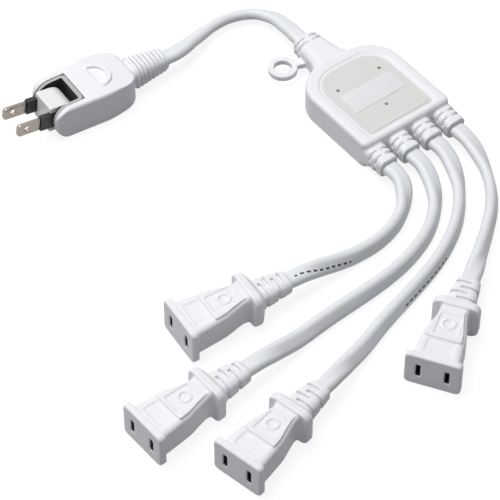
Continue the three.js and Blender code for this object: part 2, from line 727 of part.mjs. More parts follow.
function plugBodyGroup() {
  const group = new THREE.Group();
  const half = plugWidth / 2;
  const plan = roundedShape([
    [plugMiddle, -half, plugFrontRound],
    [plugMiddle, half, plugFrontRound],
    [-plugRear / 4, half, 0],
    [-plugRear, plugRearRound, plugRearRound - 0.3],
    [-plugRear, -plugRearRound, plugRearRound - 0.3],
    [-plugRear / 4, -half, 0],
  ], 7);
  const planSlab = slab(plan, 0, plugHeight, 0.8);
  const profile = crossSlab(profileShape(plugMiddle, plugMiddle, -plugRear - 1, 3), -half - 1, half + 1);
  const ribs = [];
  const pitch = plugBootLength / (plugBootRibs + 0.5);
  const taper = (x) => {
    const t = (x + plugRear) / (plugMouthX + plugRear);
    const mouthWidth = cordWidth + 2 * plugBootWall;
    const mouthHeight = cordThick + 2 * plugBootWall;
    return [
      plugBootRootWidth + t * (mouthWidth - plugBootRootWidth),
      plugBootRootHeight + t * (mouthHeight - plugBootRootHeight),
    ];
  };
  for (let k = 0; k < plugBootRibs; k++) {
    const x = -plugRear - (k + 0.35) * pitch;
    const [width, height] = taper(x);
    ribs.push([x, width, height]);
    ribs.push([x - 0.2 * pitch, width - 2 * ribDepth, height - 2 * ribDepth]);
    ribs.push([x - 0.45 * pitch, width - 2 * ribDepth, height - 2 * ribDepth]);
    ribs.push([x - 0.62 * pitch, width, height]);
  }
  const stations = [[-plugRear + 2, ...taper(-plugRear)], ...ribs, [plugMouthX, ...taper(plugMouthX)]];
  const boot = loft(softSection, stations.reverse(), plugMiddle);
  const fork = block(-frameRearOuter - touchGap, plugMiddle + 1, -frameOuter - touchGap, frameOuter + touchGap,
    -1, plugHeight + 1);
  const springs = [-1, 1].map((side) => {
    const shape = ribbonShape(springRoute(side), springThick + 2 * touchGap, touchGap);
    return slab(shape, plugMiddle - springHeight / 2 - touchGap, plugMiddle + springHeight / 2 + touchGap);
  });
  const channels = [-1, 1].map((side) => corePiece(plugCorePoints(side), true));
  const ridge = slab(halfDisc(gripRadius, -gripFront), plugHeight - 1, plugHeight + gripRise);
  const dimple = slab(halfDisc(gripRadius - gripRim, -gripFront - gripRim), plugHeight - gripDepth,
    plugHeight + gripRise + 1);
  const overmould = without(joined([planSlab.intersect(profile), boot, ridge]), [fork, dimple, ...springs, ...channels]);
  group.add(piece("plug_overmould", overmould, pvcWhite));

  // The frame is two halves that meet at the height of the swing axis and close round the trunnions
  const frameHalf = plugMiddle - frameDrop;
  const frameFront = frameHalf;
  const frameBody = crossSlab(profileShape(frameHalf, frameFront, -frameRearOuter - frameHalf, 0.5),
    -frameOuter, frameOuter)
    .subtract(block(-2 * plugRear, -frameRearOuter, -plugWidth, plugWidth, -1, plugHeight + 1));
  const mouth = block(-windowRear, plugMiddle + 1, -frameInner, frameInner, -1, plugHeight + 1);
  const bearing = crossSlab(discShape(trunnionRadius + runGap, 16), -plugWidth, plugWidth)
    .translate([0, 0, plugMiddle]);
  const frame = without(frameBody, [mouth, bearing]);
  const upperRoom = block(-plugRear, plugRear, -plugWidth, plugWidth, plugMiddle + touchGap / 2, plugHeight + 1);
  const lowerRoom = block(-plugRear, plugRear, -plugWidth, plugWidth, -1, plugMiddle - touchGap / 2);
  group.add(piece("plug_frame_upper", frame.intersect(upperRoom), frameGrey));
  group.add(piece("plug_frame_lower", frame.intersect(lowerRoom), frameGrey));

  [-1, 1].forEach((side) => {
    const pole = side < 0 ? "live" : "neutral";
    const spring = slab(ribbonShape(springRoute(side), springThick), plugMiddle - springHeight / 2,
      plugMiddle + springHeight / 2);
    group.add(piece(`plug_spring_${pole}`, spring, springBrass));
    const core = corePiece(plugCorePoints(side));
    group.add(piece(`plug_core_${pole}`, core, side < 0 ? coreBlack : coreWhite));
  });
  return group;
}

// The swing head, made level about its own axis
function swingHeadGroup() {
  const group = new THREE.Group();
  const neckThick = bladeThick - neckUnder;
  const neckHeight = bladeHeight - 2 * sleeveOver;
  const sleeveThick = bladeThick + sleeveOver;
  const sleeveHeight = bladeHeight + sleeveOver;
  const bladeY = pinSpacing / 2;
  const sleeveFront = headFront + sleeveLength;
  const bladeTip = headFront + bladeLength;
  const studEnd = frameOuter;
  const trunnionEnd = frameOuter - touchGap;
  const hubInner = headWidth / 2 + runGap;
  const hubOuter = hubInner + hubThick;

  const headShape = roundedShape([
    [headFront, -headHalfHeight, 0.6],
    [headFront, headHalfHeight, 0.6],
    [-headHalfHeight, headHalfHeight, headHalfHeight],
    [-headHalfHeight, -headHalfHeight, headHalfHeight],
  ], 7);
  const sleeveRooms = [-1, 1].map((side) => {
    const inner = bladeY - sleeveThick / 2 - touchGap;
    const y0 = side > 0 ? inner : -headWidth;
    const y1 = side > 0 ? headWidth : -inner;
    return block(-hubRadius, headFront + 1, y0, y1, -sleeveHeight / 2 - touchGap, sleeveHeight / 2 + touchGap);
  });
  const drum = without(crossSlab(headShape, -headWidth / 2, headWidth / 2), sleeveRooms);
  group.add(piece("swing_head", drum, blockGrey));

  [-1, 1].forEach((side) => {
    const pole = side < 0 ? "live" : "neutral";
    const y = side * bladeY;
    const across = (from, to) => (side > 0 ? [from, to] : [-to, -from]);
    const bladeShape = roundedShape([
      [-studRadius - 0.8, -neckHeight / 2, 0.5],
      [sleeveFront + touchGap, -neckHeight / 2, 0],
      [sleeveFront + touchGap, neckHeight / 2, 0],
      [-studRadius - 0.8, neckHeight / 2, 0.5],
    ], 3);
    const plateShape = roundedShape([
      [sleeveFront + touchGap, -bladeHeight / 2, 0],
      [bladeTip, -bladeHeight / 2, 2],
      [bladeTip, bladeHeight / 2, 2],
      [sleeveFront + touchGap, bladeHeight / 2, 0],
    ], 3);
    const holeShape = discShape(bladeHole / 2, 12).getPoints();
    plateShape.holes.push(new THREE.Path(holeShape.map((p) => p.add(new THREE.Vector2(bladeTip - bladeHoleFromTip, 0)))));
    const neck = crossSlab(bladeShape, y - neckThick / 2, y + neckThick / 2);
    const plate = crossSlab(plateShape, y - bladeThick / 2, y + bladeThick / 2);
    const stud = crossSlab(discShape(studRadius, 12), ...across(bladeY, studEnd));
    group.add(piece(`blade_${pole}`, joined([neck, plate, stud]), bladeNickel));

    const hub = crossSlab(discShape(hubRadius, 18), ...across(hubInner, hubOuter));
    const trunnion = crossSlab(discShape(trunnionRadius, 16), ...across(hubInner, trunnionEnd));
    const sleeve = block(-hubRadius + touchGap, sleeveFront, y - sleeveThick / 2, y + sleeveThick / 2,
      -sleeveHeight / 2, sleeveHeight / 2);
    const neckRoom = block(-studRadius - 0.8 - touchGap, sleeveFront + 1, y - neckThick / 2 - touchGap,
      y + neckThick / 2 + touchGap, -neckHeight / 2 - touchGap, neckHeight / 2 + touchGap);
    const studRoom = crossSlab(discShape(studRadius + touchGap, 12), ...across(bladeY, studEnd + 1));
    const holder = without(joined([hub, trunnion, sleeve]), [neckRoom, studRoom]);
    group.add(piece(`blade_sleeve_${pole}`, holder, sleeveBlack));
  });
  return group;
}

// A piece made along X, set down at its place and turned to its heading
function setDown(group, place) {
  group.position.set(place.x, place.y, 0);
  group.rotation.z = THREE.MathUtils.degToRad(place.heading);
  return group;
}

// The free end of a boot: a little beyond its mouth, with the direction in which the cord leaves
function mouthOf(place, mouthX, height) {
  const angle = THREE.MathUtils.degToRad(place.heading);
  const away = new THREE.Vector3(-Math.cos(angle), -Math.sin(angle), 0);
  const point = new THREE.Vector3(place.x, place.y, height).addScaledVector(away, -mouthX + touchGap);
  return { point, away };
}

// A free cord lies flat on the ground between the box's mouth and its other end, and leaves each straight
function freeCord(name, start, route, end, steps) {
  const lead = 0.7 * cordWidth;
  const rest = cordThick / 2 + cordLift;
  const points = [
    start.point,
    start.point.clone().addScaledVector(start.away, lead),
    ...route.map(([x, y, z = rest]) => new THREE.Vector3(x, y, Math.max(z, rest))),
    end.point.clone().addScaledVector(end.away, lead),
    end.point,
  ].reverse();
  const section = roundedRectangle(cordThick, cordWidth, cordThick / 2 - 0.05, 2);
  return piece(name, tube(points, section, steps), cordWhite);
}

const cordPart = new THREE.Group();
cordPart.add(boxGroup());
outletPlaces.forEach((place, i) => cordPart.add(setDown(outletGroup(i + 1), place)));

const plug = plugBodyGroup();
const head = swingHeadGroup();
head.position.z = plugMiddle;
head.rotation.y = THREE.MathUtils.degToRad(-swingTilt);
plug.add(head);
cordPart.add(setDown(plug, plugPlace));

branchRoutes.forEach((route, i) => {
  if (!route.length) return;
  const away = new THREE.Vector3(0, -1, 0);
  const start = { point: new THREE.Vector3(branchXs[i], branchMouthY - touchGap, boxMiddle), away };
  const end = mouthOf(outletPlaces[i], outletMouthX, outletMiddle);
  cordPart.add(freeCord(`cord_branch_${i + 1}`, start, route, end, 16));
});
if (mainRoute.length) {
  const start = { point: new THREE.Vector3(0, neckMouthY + touchGap, boxMiddle), away: new THREE.Vector3(0, 1, 0) };
  const end = mouthOf(plugPlace, plugMouthX, plugMiddle);
  cordPart.add(freeCord("cord_main", start, mainRoute, end, 16));
}

export default cordPart;
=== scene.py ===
import json
import math

import bmesh
import bpy
from mathutils import Matrix, Vector

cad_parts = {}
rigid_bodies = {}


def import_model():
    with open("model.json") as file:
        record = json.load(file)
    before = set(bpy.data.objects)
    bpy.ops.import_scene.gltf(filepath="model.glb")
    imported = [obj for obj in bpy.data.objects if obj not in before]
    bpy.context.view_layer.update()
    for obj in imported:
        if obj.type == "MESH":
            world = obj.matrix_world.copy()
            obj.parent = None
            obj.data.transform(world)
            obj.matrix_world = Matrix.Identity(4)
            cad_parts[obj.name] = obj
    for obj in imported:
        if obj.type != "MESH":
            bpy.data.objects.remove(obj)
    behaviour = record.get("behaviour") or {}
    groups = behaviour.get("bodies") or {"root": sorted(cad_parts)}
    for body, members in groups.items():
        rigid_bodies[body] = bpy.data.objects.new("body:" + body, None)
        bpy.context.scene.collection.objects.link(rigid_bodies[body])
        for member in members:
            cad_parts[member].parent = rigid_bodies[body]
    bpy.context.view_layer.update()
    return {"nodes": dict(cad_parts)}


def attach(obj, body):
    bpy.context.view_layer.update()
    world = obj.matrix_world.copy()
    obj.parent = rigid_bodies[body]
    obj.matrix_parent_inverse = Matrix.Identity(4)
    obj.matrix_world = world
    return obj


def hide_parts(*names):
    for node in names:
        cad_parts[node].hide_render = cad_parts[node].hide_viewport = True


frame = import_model()
cordSet = "cord_set"
headBody = "swing_head_body"
scene = bpy.context.scene
mm = 0.001
print("frame loaded:", len(frame["nodes"]), "nodes")

# Camera: long lens, 48.5 degrees above the ground, looking at the middle of the spread-out cords
view = {
    "from": (-0.5562, -0.6318, 0.8531),
    "at": (-0.0957, -0.0338, 0.0),
    "lens": 186.1,
}
cameraData = bpy.data.cameras.new("camera")
cameraData.lens = view["lens"]
cameraData.sensor_width = 36
cameraData.clip_start = 0.05
camera = bpy.data.objects.new("camera", cameraData)
camera.location = view["from"]
aim = Vector(view["at"]) - Vector(view["from"])
camera.rotation_euler = aim.to_track_quat("-Z", "Y").to_euler()
scene.collection.objects.link(camera)
scene.camera = camera


# Shapes in millimetres, made metres when a piece is finished


def roundedOutline(corners, arcSteps=10):
    points = []
    for i, (x, y, radius) in enumerate(corners):
        corner = Vector((x, y))
        if not radius:
            points.append(corner)
            continue
        toBefore = Vector(corners[i - 1][:2]) - corner
        toAfter = Vector(corners[(i + 1) % len(corners)][:2]) - corner
        half = toBefore.angle(toAfter) / 2
        room = 0.499 * min(toBefore.length, toAfter.length)
        reach = min(radius / math.tan(half), room)
        start = corner + toBefore.normalized() * reach
        end = corner + toAfter.normalized() * reach
        centre = corner + ((start + end) / 2 - corner) / math.cos(half) ** 2
        first = math.atan2(start.y - centre.y, start.x - centre.x)
        last = math.atan2(end.y - centre.y, end.x - centre.x)
        turn = math.atan2(math.sin(last - first), math.cos(last - first))
        arcRadius = (start - centre).length
        for k in range(arcSteps + 1):
            angle = first + turn * k / arcSteps
            points.append(centre + arcRadius * Vector((math.cos(angle), math.sin(angle))))
    return points


def roundedBox(width, height, radius, arcSteps=8):
    x, y = width / 2, height / 2
    return roundedOutline([(-x, -y, radius), (x, -y, radius), (x, y, radius), (-x, y, radius)], arcSteps)


def disc(radius, sides=48):
    angles = [2 * math.pi * k / sides for k in range(sides)]
    return [radius * Vector((math.cos(a), math.sin(a))) for a in angles]


def halfDisc(radius, front, steps=24):
    angles = [math.pi * (0.5 + k / steps) for k in range(steps + 1)]
    return [Vector((front + radius * math.cos(a), radius * math.sin(a))) for a in angles]


# A closed skin over rings of points that all have as many points
def skin(rings):
    count = len(rings[0])
    vertices = [point for ring in rings for point in ring]
    faces = [tuple(range(count))[::-1], tuple(range(len(vertices) - count, len(vertices)))]
    for r in range(len(rings) - 1):
        for k in range(count):
            a = r * count + k
            b = r * count + (k + 1) % count
            faces.append((a, b, b + count, a + count))
    mesh = bpy.data.meshes.new("shape")
    mesh.from_pydata([tuple(v) for v in vertices], [], faces)
    shape = bmesh.new()
    shape.from_mesh(mesh)
    bmesh.ops.recalc_face_normals(shape, faces=shape.faces)
    shape.to_mesh(mesh)
    shape.free()
    return mesh


# A plan outline stood up between two heights, its upper and lower edges rounded by edge
def slab(outline, bottom, top, edge=0.0, edgeSteps=4):
    middle = sum(outline, Vector((0, 0))) / len(outline)
    rings = []

    def ring(inset, z):
        if not inset:
            return [Vector((p.x, p.y, z)) for p in outline]
        moved = []
        for i, p in enumerate(outline):
            a = (p - outline[i - 1]).normalized()
            b = (outline[(i + 1) % len(outline)] - p).normalized()
            along = (a + b).normalized()
            inward = Vector((-along.y, along.x))
            if inward.dot(middle - p) < 0:
                inward = -inward
            moved.append(Vector((p.x + inward.x * inset, p.y + inward.y * inset, z)))
        return moved

    if edge:
        for k in range(edgeSteps + 1):
            angle = math.pi / 2 * k / edgeSteps
            rings.append(ring(edge * (1 - math.sin(angle)), bottom + edge * (1 - math.cos(angle))))
        for k in range(edgeSteps + 1):
            angle = math.pi / 2 * k / edgeSteps
            rings.append(ring(edge * (1 - math.cos(angle)), top - edge * (1 - math.sin(angle))))
    else:
        rings = [ring(0, bottom), ring(0, top)]
    return skin(rings)


# An outline in the X-Z plane carried along Y
def crossSlab(outline, start, end):
    return skin([[Vector((p.x, y, p.y)) for p in outline] for y in (start, end)])


def brick(x0, x1, y0, y1, z0, z1):
    corners = ((x0, y0), (x1, y0), (x1, y1), (x0, y1))
    return skin([[Vector((x, y, z)) for x, y in corners] for z in (z0, z1)])


# A body along X whose section changes its size; a station is (x, width, height)
def loft(section, stations, middle):
    return skin([[Vector((x, p.x * width, middle + p.y * height)) for p in section]
                 for x, width, height in stations])


softSection = roundedBox(1, 1, 0.3)
boxySection = roundedBox(1, 1, 0.13, 5)


def moved(mesh, x=0.0, y=0.0, turn=0.0):
    mesh.transform(Matrix.Translation((x, y, 0)) @ Matrix.Rotation(math.radians(turn), 4, "Z"))
    return mesh


def asObject(mesh, name="shape"):
    thing = bpy.data.objects.new(name, mesh)
    scene.collection.objects.link(thing)
    return thing


# The evaluated mesh of an object, with none of its modifiers left
def settled(thing):
    bpy.context.view_layer.update()
    graph = bpy.context.evaluated_depsgraph_get()
    return bpy.data.meshes.new_from_object(thing.evaluated_get(graph), depsgraph=graph)


# The first mesh after its steps: each joins another mesh to it, cuts one out or keeps what lies inside one.
# With a grain the result is melted to cells of that size and smoothed, which rounds its edges.
def combined(first, steps, grain=0, softness=0):
    body = asObject(first)
    tools = []
    for operation, mesh in steps:
        tool = asObject(mesh)
        tools.append(tool)
        step = body.modifiers.new("step", "BOOLEAN")
        step.operation = operation
        step.object = tool
        step.solver = "MANIFOLD"
    if grain:
        melt = body.modifiers.new("melt", "REMESH")
        melt.mode = "VOXEL"
        melt.voxel_size = grain
        smooth = body.modifiers.new("smooth", "SMOOTH")
        smooth.factor = 0.5
        smooth.iterations = softness
    mesh = settled(body)
    for thing in [body, *tools]:
        bpy.data.objects.remove(thing)
    return mesh


# Joins solids, then cuts others out of them
def moulded(solids, cutters, grain=0, softness=0):
    steps = [("UNION", mesh) for mesh in solids[1:]] + [("DIFFERENCE", mesh) for mesh in cutters]
    return combined(solids[0], steps, grain, softness)


# With no material given, the mesh keeps the ones that its own function gave it
def finished(name, mesh, material, body, smoothAngle=180.0, replaces=()):
    mesh.name = name
    mesh.transform(Matrix.Scale(mm, 4))
    if material:
        mesh.materials.clear()
        mesh.materials.append(material)
    thing = asObject(mesh, name)
    mesh.shade_smooth()
    if smoothAngle < 180:
        mesh.set_sharp_from_angle(angle=math.radians(smoothAngle))
    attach(thing, body)
    if replaces:
        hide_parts(*replaces)
    return thing


# Materials


def linearColour(text):
    parts = [int(text[i : i + 2], 16) / 255 for i in (1, 3, 5)]
    return tuple(c / 12.92 if c <= 0.04045 else ((c + 0.055) / 1.055) ** 2.4 for c in parts) + (1.0,)


def addNode(tree, kind, settings=None, inputs=None):
    node = tree.nodes.new(kind)
    for key, value in (settings or {}).items():
        setattr(node, key, value)
    for key, value in (inputs or {}).items():
        if isinstance(value, bpy.types.NodeSocket):
            tree.links.new(value, node.inputs[key])
        else:
            node.inputs[key].default_value = value
    return node


def newMaterial(name, values):
    material = bpy.data.materials.new(name)
    material.use_nodes = True
    tree = material.node_tree
    shader = tree.nodes["Principled BSDF"]
    for key, value in values.items():
        shader.inputs[key].default_value = value
    return material, tree, shader


# The result of arithmetic on two values or sockets
def arithmetic(tree, operation, a, b):
    return addNode(tree, "ShaderNodeMath", {"operation": operation}, {0: a, 1: b}).outputs[0]


# The first colour where the factor is 0 and the second where it is 1; each is a text or a socket
def mixed(tree, factor, first, second):
    mix = addNode(tree, "ShaderNodeMix", {"data_type": "RGBA"}, {"Factor": factor})
    for place, colour in ((6, first), (7, second)):
        if isinstance(colour, str):
            mix.inputs[place].default_value = linearColour(colour)
        else:
            tree.links.new(colour, mix.inputs[place])
    return mix.outputs[2]


def noise(tree, where, scale, detail, **more):
    inputs = {"Vector": where, "Scale": scale, "Detail": detail, **more}
    return addNode(tree, "ShaderNodeTexNoise", None, inputs).outputs["Fac"]


# Lets a pattern carry the shader's roughness over a spread, if there is one, and raise a fine relief
def textured(tree, shader, pattern, spread, strength, depth):
    if spread:
        inputs = {"Value": pattern, "To Min": spread[0], "To Max": spread[1]}
        rough = addNode(tree, "ShaderNodeMapRange", None, inputs)
        tree.links.new(rough.outputs["Result"], shader.inputs["Roughness"])
    inputs = {"Strength": strength, "Distance": depth * mm, "Height": pattern}
    tree.links.new(addNode(tree, "ShaderNodeBump", None, inputs).outputs["Normal"], shader.inputs["Normal"])


plasticIor = 1.53


# Injection-moulded plastic with a spark-eroded satin skin: one even colour with a very faint cloudiness,
# a fine matte grain, and soft broad highlights
def mouldedPlastic(name, colour, shade, roughness, grainSize=0.45, depth=0.012):
    material, tree, shader = newMaterial(name, {"Roughness": roughness, "IOR": plasticIor})
    where = addNode(tree, "ShaderNodeTexCoord").outputs["Object"]
    cloud = noise(tree, where, 60.0, 3.0, Roughness=0.55)
    tree.links.new(mixed(tree, cloud, colour, shade), shader.inputs["Base Color"])
    grain = noise(tree, where, 1 / (grainSize * mm), 2.0)
    textured(tree, shader, grain, (roughness - 0.06, roughness + 0.06), 0.5, depth)
    return material


# Plated or bare brass strip, rolled and brushed along its length: warm grey or yellow metal with fine lines
def brushedMetal(name, colour, shade, roughness):
    material, tree, shader = newMaterial(name, {"Metallic": 1.0, "Roughness": roughness})
    where = addNode(tree, "ShaderNodeTexCoord").outputs["Object"]
    drawn = addNode(tree, "ShaderNodeMapping", None, {"Vector": where, "Scale": (0.15, 1.0, 1.0)})
    lines = noise(tree, drawn.outputs["Vector"], 3500.0, 3.0)
    tree.links.new(mixed(tree, lines, colour, shade), shader.inputs["Base Color"])
    textured(tree, shader, lines, (roughness - 0.08, roughness + 0.1), 0.3, 0.01)
    return material


# Extruded PVC sheath: smoother than the mouldings, with faint lines drawn along it by the die. U runs along
# the cord in metres and V once round its section. A printed cord has dark dashes on one broad face.
def extrudedSheath(name, printed=None):
    material, tree, shader = newMaterial(name, {"Roughness": 0.4, "IOR": plasticIor})
    where = addNode(tree, "ShaderNodeTexCoord").outputs["UV"]
    drawn = addNode(tree, "ShaderNodeMapping", None, {"Vector": where, "Scale": (40.0, 60.0, 1.0)})
    lines = noise(tree, drawn.outputs["Vector"], 1.0, 2.0)
    colour = mixed(tree, lines, "#edeff2", "#e6e9ed")
    if printed:
        parts = addNode(tree, "ShaderNodeSeparateXYZ", None, {"Vector": where})
        along, across = parts.outputs["X"], parts.outputs["Y"]

        def between(value, low, high):
            over = arithmetic(tree, "GREATER_THAN", value, low)
            under = arithmetic(tree, "LESS_THAN", value, high)
            return arithmetic(tree, "MULTIPLY", over, under)

        phase = arithmetic(tree, "PINGPONG", along, printed["pitch"] * mm / 2)
        mark = arithmetic(tree, "LESS_THAN", phase, printed["dash"] * mm / 2)
        mark = arithmetic(tree, "MULTIPLY", mark, between(across, *printed["across"]))
        stretch = between(along, printed["along"][0] * mm, printed["along"][1] * mm)
        mark = arithmetic(tree, "MULTIPLY", mark, stretch)
        colour = mixed(tree, mark, colour, "#3f4145")
    tree.links.new(colour, shader.inputs["Base Color"])
    textured(tree, shader, lines, None, 0.4, 0.02)
    return material


# The shell, outlets and plug: a bright, barely cool white with a satin skin
whitePvc = mouldedPlastic("moulded white PVC", "#f4f5f8", "#eeeff3", 0.52)
# The panel: a light neutral grey, coarser and duller than the white round it
panelPlastic = mouldedPlastic("light grey ABS panel", "#dfdfde", "#dadad8", 0.55, grainSize=0.6, depth=0.02)
# The label field: between the panel and the shell in lightness
labelPlastic = mouldedPlastic("pale ABS label field", "#e8e9ec", "#e3e4e7", 0.5)
# The room behind the swing head: painted shade, a dull near black on its inner walls, so that it looks deep
swingRoomShade = mouldedPlastic("near-black painted shade of the swing room", "#0d0d0e", "#0a0a0b", 0.75)
# The swing head: a warmer and glossier white than the plug's
headPlastic = mouldedPlastic("white ABS swing head", "#f3f4f2", "#eceeec", 0.35)
# The frame round the head: a mid grey rim
framePlastic = mouldedPlastic("grey ABS frame", "#b9baba", "#b1b2b2", 0.5)
# The inserts behind the slots: dark as painted shade, so that the slots look black
slotShadePlastic = mouldedPlastic("dark insert painted as slot shade", "#242527", "#1d1e20", 0.55)
# The sleeves at the roots of the blades: black with a dull sheen
sleevePlastic = mouldedPlastic("black PBT sleeve", "#131315", "#0f0f11", 0.5)
# Core insulation: plain black for live, plain white for neutral
blackCore = mouldedPlastic("black core insulation", "#2a2b2d", "#222325", 0.45)
whiteCore = mouldedPlastic("white core insulation", "#f0f0ee", "#e8e8e6", 0.45)
# The blades: warm grey plating that mirrors the white in soft streaks
platedBrass = brushedMetal("nickel-plated brass", "#a89f96", "#8f867d", 0.32)
# Contacts, springs and busbars: bare yellow brass
springBrass = brushedMetal("spring brass strip", "#c9a55c", "#b8934c", 0.32)
plainSheath = extrudedSheath("extruded white PVC sheath")
print("materials made")

# Cords: the centreline of each, in millimetres, from the box to its far end

# Where the faces of the outlets and the axis of the plug are, and their headings in degrees
outletPlaces = [(-153, -58.2, 173.8), (-197.9, -93.6, 181.8), (-177.3, -130.8, 192.2),
                (-82.8, -141.8, 212.4)]
plugPlace = (-117.9, 83.6, 175.9)
cordSize = {"width": 8.2, "thick": 5.1, "gap": 0.3, "lead": 5.74, "step": 1.5, "levelEnd": 5, "descent": 32}
branchXs = [-19.8, -6.6, 6.6, 19.8]
branchMouth = {"y": -37.7, "z": 7.6}
neckMouth = {"y": 49.0, "z": 7.6}
outletBack = {"mouth": 54.5, "z": 9.0}
plugBack = {"mouth": 58.8, "z": 8.75}
branchRoutes = [
    [(-21.6, -49.7, 7), (-29.1, -58.7, 4.4), (-39.5, -64.5, 0), (-51, -67.1, 0), (-62.9, -67.1, 0),
     (-74.7, -66.1, 4.9), (-86.6, -65.2, 8.2)],
    [(-7.7, -49.9, 7), (-12.3, -60.4, 4.5), (-19.8, -69.2, 0), (-29.1, -76, 0), (-39.6, -80.8, 0),
     (-50.7, -84, 0), (-62.1, -85.8, 0), (-73.6, -86.6, 0), (-85.1, -87.1, 0), (-96.7, -87.7, 0),
     (-108.2, -88.7, 0), (-119.7, -90.1, 5), (-131.1, -91.3, 8.2)],
    [(5.5, -49.9, 7), (1, -60.7, 4.4), (-5.8, -70.2, 0), (-14.2, -78.4, 0), (-23.8, -85.1, 0),
     (-34.2, -90.5, 0), (-45.2, -94.7, 0), (-56.4, -98.1, 0), (-67.7, -101.3, 0), (-78.9, -104.6, 0),
     (-90, -108.4, 0), (-101, -112.4, 5), (-112.1, -116.2, 8.2)],
    [(19.2, -50, 7), (15.9, -61.9, 4.3), (10.3, -72.9, 0), (2.4, -82.5, 0), (-7, -90.5, 0),
     (-16.8, -98.1, 4.8), (-26.6, -105.7, 8.2)],
]
mainRoute = [(0.5, 61.3, 7), (0.5, 72.4, 4.6), (-4.8, 81.8, 0), (-14.9, 86.4, 0), (-25.9, 86.7, 0),
             (-36.7, 83.9, 5), (-47.1, 80.1, 8)]
# Lean of the cord's wide face in degrees, at shares of its length: level in both mouths, steep in the bends
branchLeans = [
    [(0, 0), (0.1, -14), (0.3, -76), (0.6, -70), (0.8, -52), (0.96, -6), (1, 0)],
    [(0, 0), (0.07, -14), (0.22, -76), (0.45, -72), (0.65, -58), (0.87, -42), (0.97, -4), (1, 0)],
    [(0, 0), (0.07, -14), (0.2, -76), (0.45, -74), (0.65, -67), (0.87, -50), (0.97, -4), (1, 0)],
    [(0, 0), (0.1, -14), (0.32, -76), (0.6, -73), (0.8, -60), (0.96, -4), (1, 0)],
]
mainLean = [(0, 0), (0.12, 8), (0.4, 46), (0.6, 48), (0.8, 24), (0.94, 0), (1, 0)]


# The value of a table of (place, value) at t, with soft steps from one entry to the next
def eased(table, t):
    for (t0, a), (t1, b) in zip(table, table[1:]):
        if t <= t1:
            u = (t - t0) / (t1 - t0)
            return a + (b - a) * u * u * (3 - 2 * u)
    return table[-1][1]


# Centripetal Catmull-Rom curve through the points, finely cut
def smoothLine(points, each=8):
    points = [points[0] * 2 - points[1]] + points + [points[-1] * 2 - points[-2]]
    line = []
    for p0, p1, p2, p3 in zip(points, points[1:], points[2:], points[3:]):
        t0, t1 = 0.0, (p1 - p0).length ** 0.5
        t2 = t1 + (p2 - p1).length ** 0.5
        t3 = t2 + (p3 - p2).length ** 0.5
        for k in range(each):
            t = t1 + (t2 - t1) * k / each
            a1 = p0 * ((t1 - t) / (t1 - t0)) + p1 * ((t - t0) / (t1 - t0))
            a2 = p1 * ((t2 - t) / (t2 - t1)) + p2 * ((t - t1) / (t2 - t1))
            a3 = p2 * ((t3 - t) / (t3 - t2)) + p3 * ((t - t2) / (t3 - t2))
            b1 = a1 * ((t2 - t) / (t2 - t0)) + a2 * ((t - t0) / (t2 - t0))
            b2 = a2 * ((t3 - t) / (t3 - t1)) + a3 * ((t - t1) / (t3 - t1))
            line.append(b1 * ((t2 - t) / (t2 - t1)) + b2 * ((t - t1) / (t2 - t1)))
    return line + [points[-2]]


# How far along the line each of its points is
def lengthsAlong(line):
    run = [0.0]
    for a, b in zip(line, line[1:]):
        run.append(run[-1] + (b - a).length)
    return run


# The point that is s along the line
def pointAt(line, run, s):
    for i in range(len(run) - 1):
        if s <= run[i + 1]:
            return line[i].lerp(line[i + 1], (s - run[i]) / (run[i + 1] - run[i]))
    return line[-1]


# A flat cord through its route on the floor, raised to the mouths at its ends and leaning in its bends
def flatCord(name, start, startAway, route, end, endAway, leans, material, farEnd, pieces):
    lead = cordSize["lead"]
    width, thick = cordSize["width"], cordSize["thick"]
    knots = [start, start + startAway * lead] + [Vector(p) for p in route] + [end + endAway * lead, end]
    flat = smoothLine([Vector((p.x, p.y, 0)) for p in knots])
    run = lengthsAlong(flat)
    stations = []
    count = int(run[-1] / cordSize["step"])
    for k in range(count + 1):
        t = k / count
        lean = math.radians(eased(leans, t))
        rest = (width - thick) / 2 * abs(math.sin(lean)) + thick / 2
        s = t * run[-1]
        high = rest
        for z, reach in ((start.z, s), (end.z, run[-1] - s)):
            u = min(max((reach - cordSize["levelEnd"]) / cordSize["descent"], 0), 1)
            high = max(high, rest + (z - rest) * (1 - u * u * (3 - 2 * u)))
        point = pointAt(flat, run, s)
        stations.append((Vector((point.x, point.y, high)), lean))
    section = roundedBox(width, thick, thick / 2 - 0.02)
    rings = []
    for k, (point, lean) in enumerate(stations):
        along = (stations[min(k + 1, count)][0] - stations[max(k - 1, 0)][0]).normalized()
        if k == 0:
            along = startAway
        if k == count:
            along = -endAway
        left = Vector((-along.y, along.x, 0)).normalized()
        up = along.cross(left)
        wide = left * math.cos(lean) + up * math.sin(lean)
        thin = along.cross(wide)
        rings.append([point + wide * p.x + thin * p.y for p in section])
    mesh = skin(rings)
    layer = mesh.uv_layers.new(name="sheath")
    around = len(section)
    girth = lengthsAlong(section + section[:1])
    runs = lengthsAlong([p for p, lean in stations])
    for polygon in mesh.polygons:
        rows = [mesh.loops[i].vertex_index for i in polygon.loop_indices]
        wraps = any(r % around == around - 1 for r in rows) and any(r % around == 0 for r in rows)
        for i in polygon.loop_indices:
            vertex = mesh.loops[i].vertex_index
            column = vertex % around
            if wraps and column == 0:
                column = around
            layer.data[i].uv = (runs[vertex // around] * mm, girth[column] / girth[-1])
    cord = finished(name + "_sheath", mesh, material, cordSet, 60, [name])


# Where a cord ends behind the mouth of an outlet or of the plug, and the direction away from it
def awayFrom(place, back):
    angle = math.radians(place[2])
    away = Vector((-math.cos(angle), -math.sin(angle), 0))
    point = Vector((place[0], place[1], back["z"])) + away * (back["mouth"] + cordSize["gap"])
    return point, away


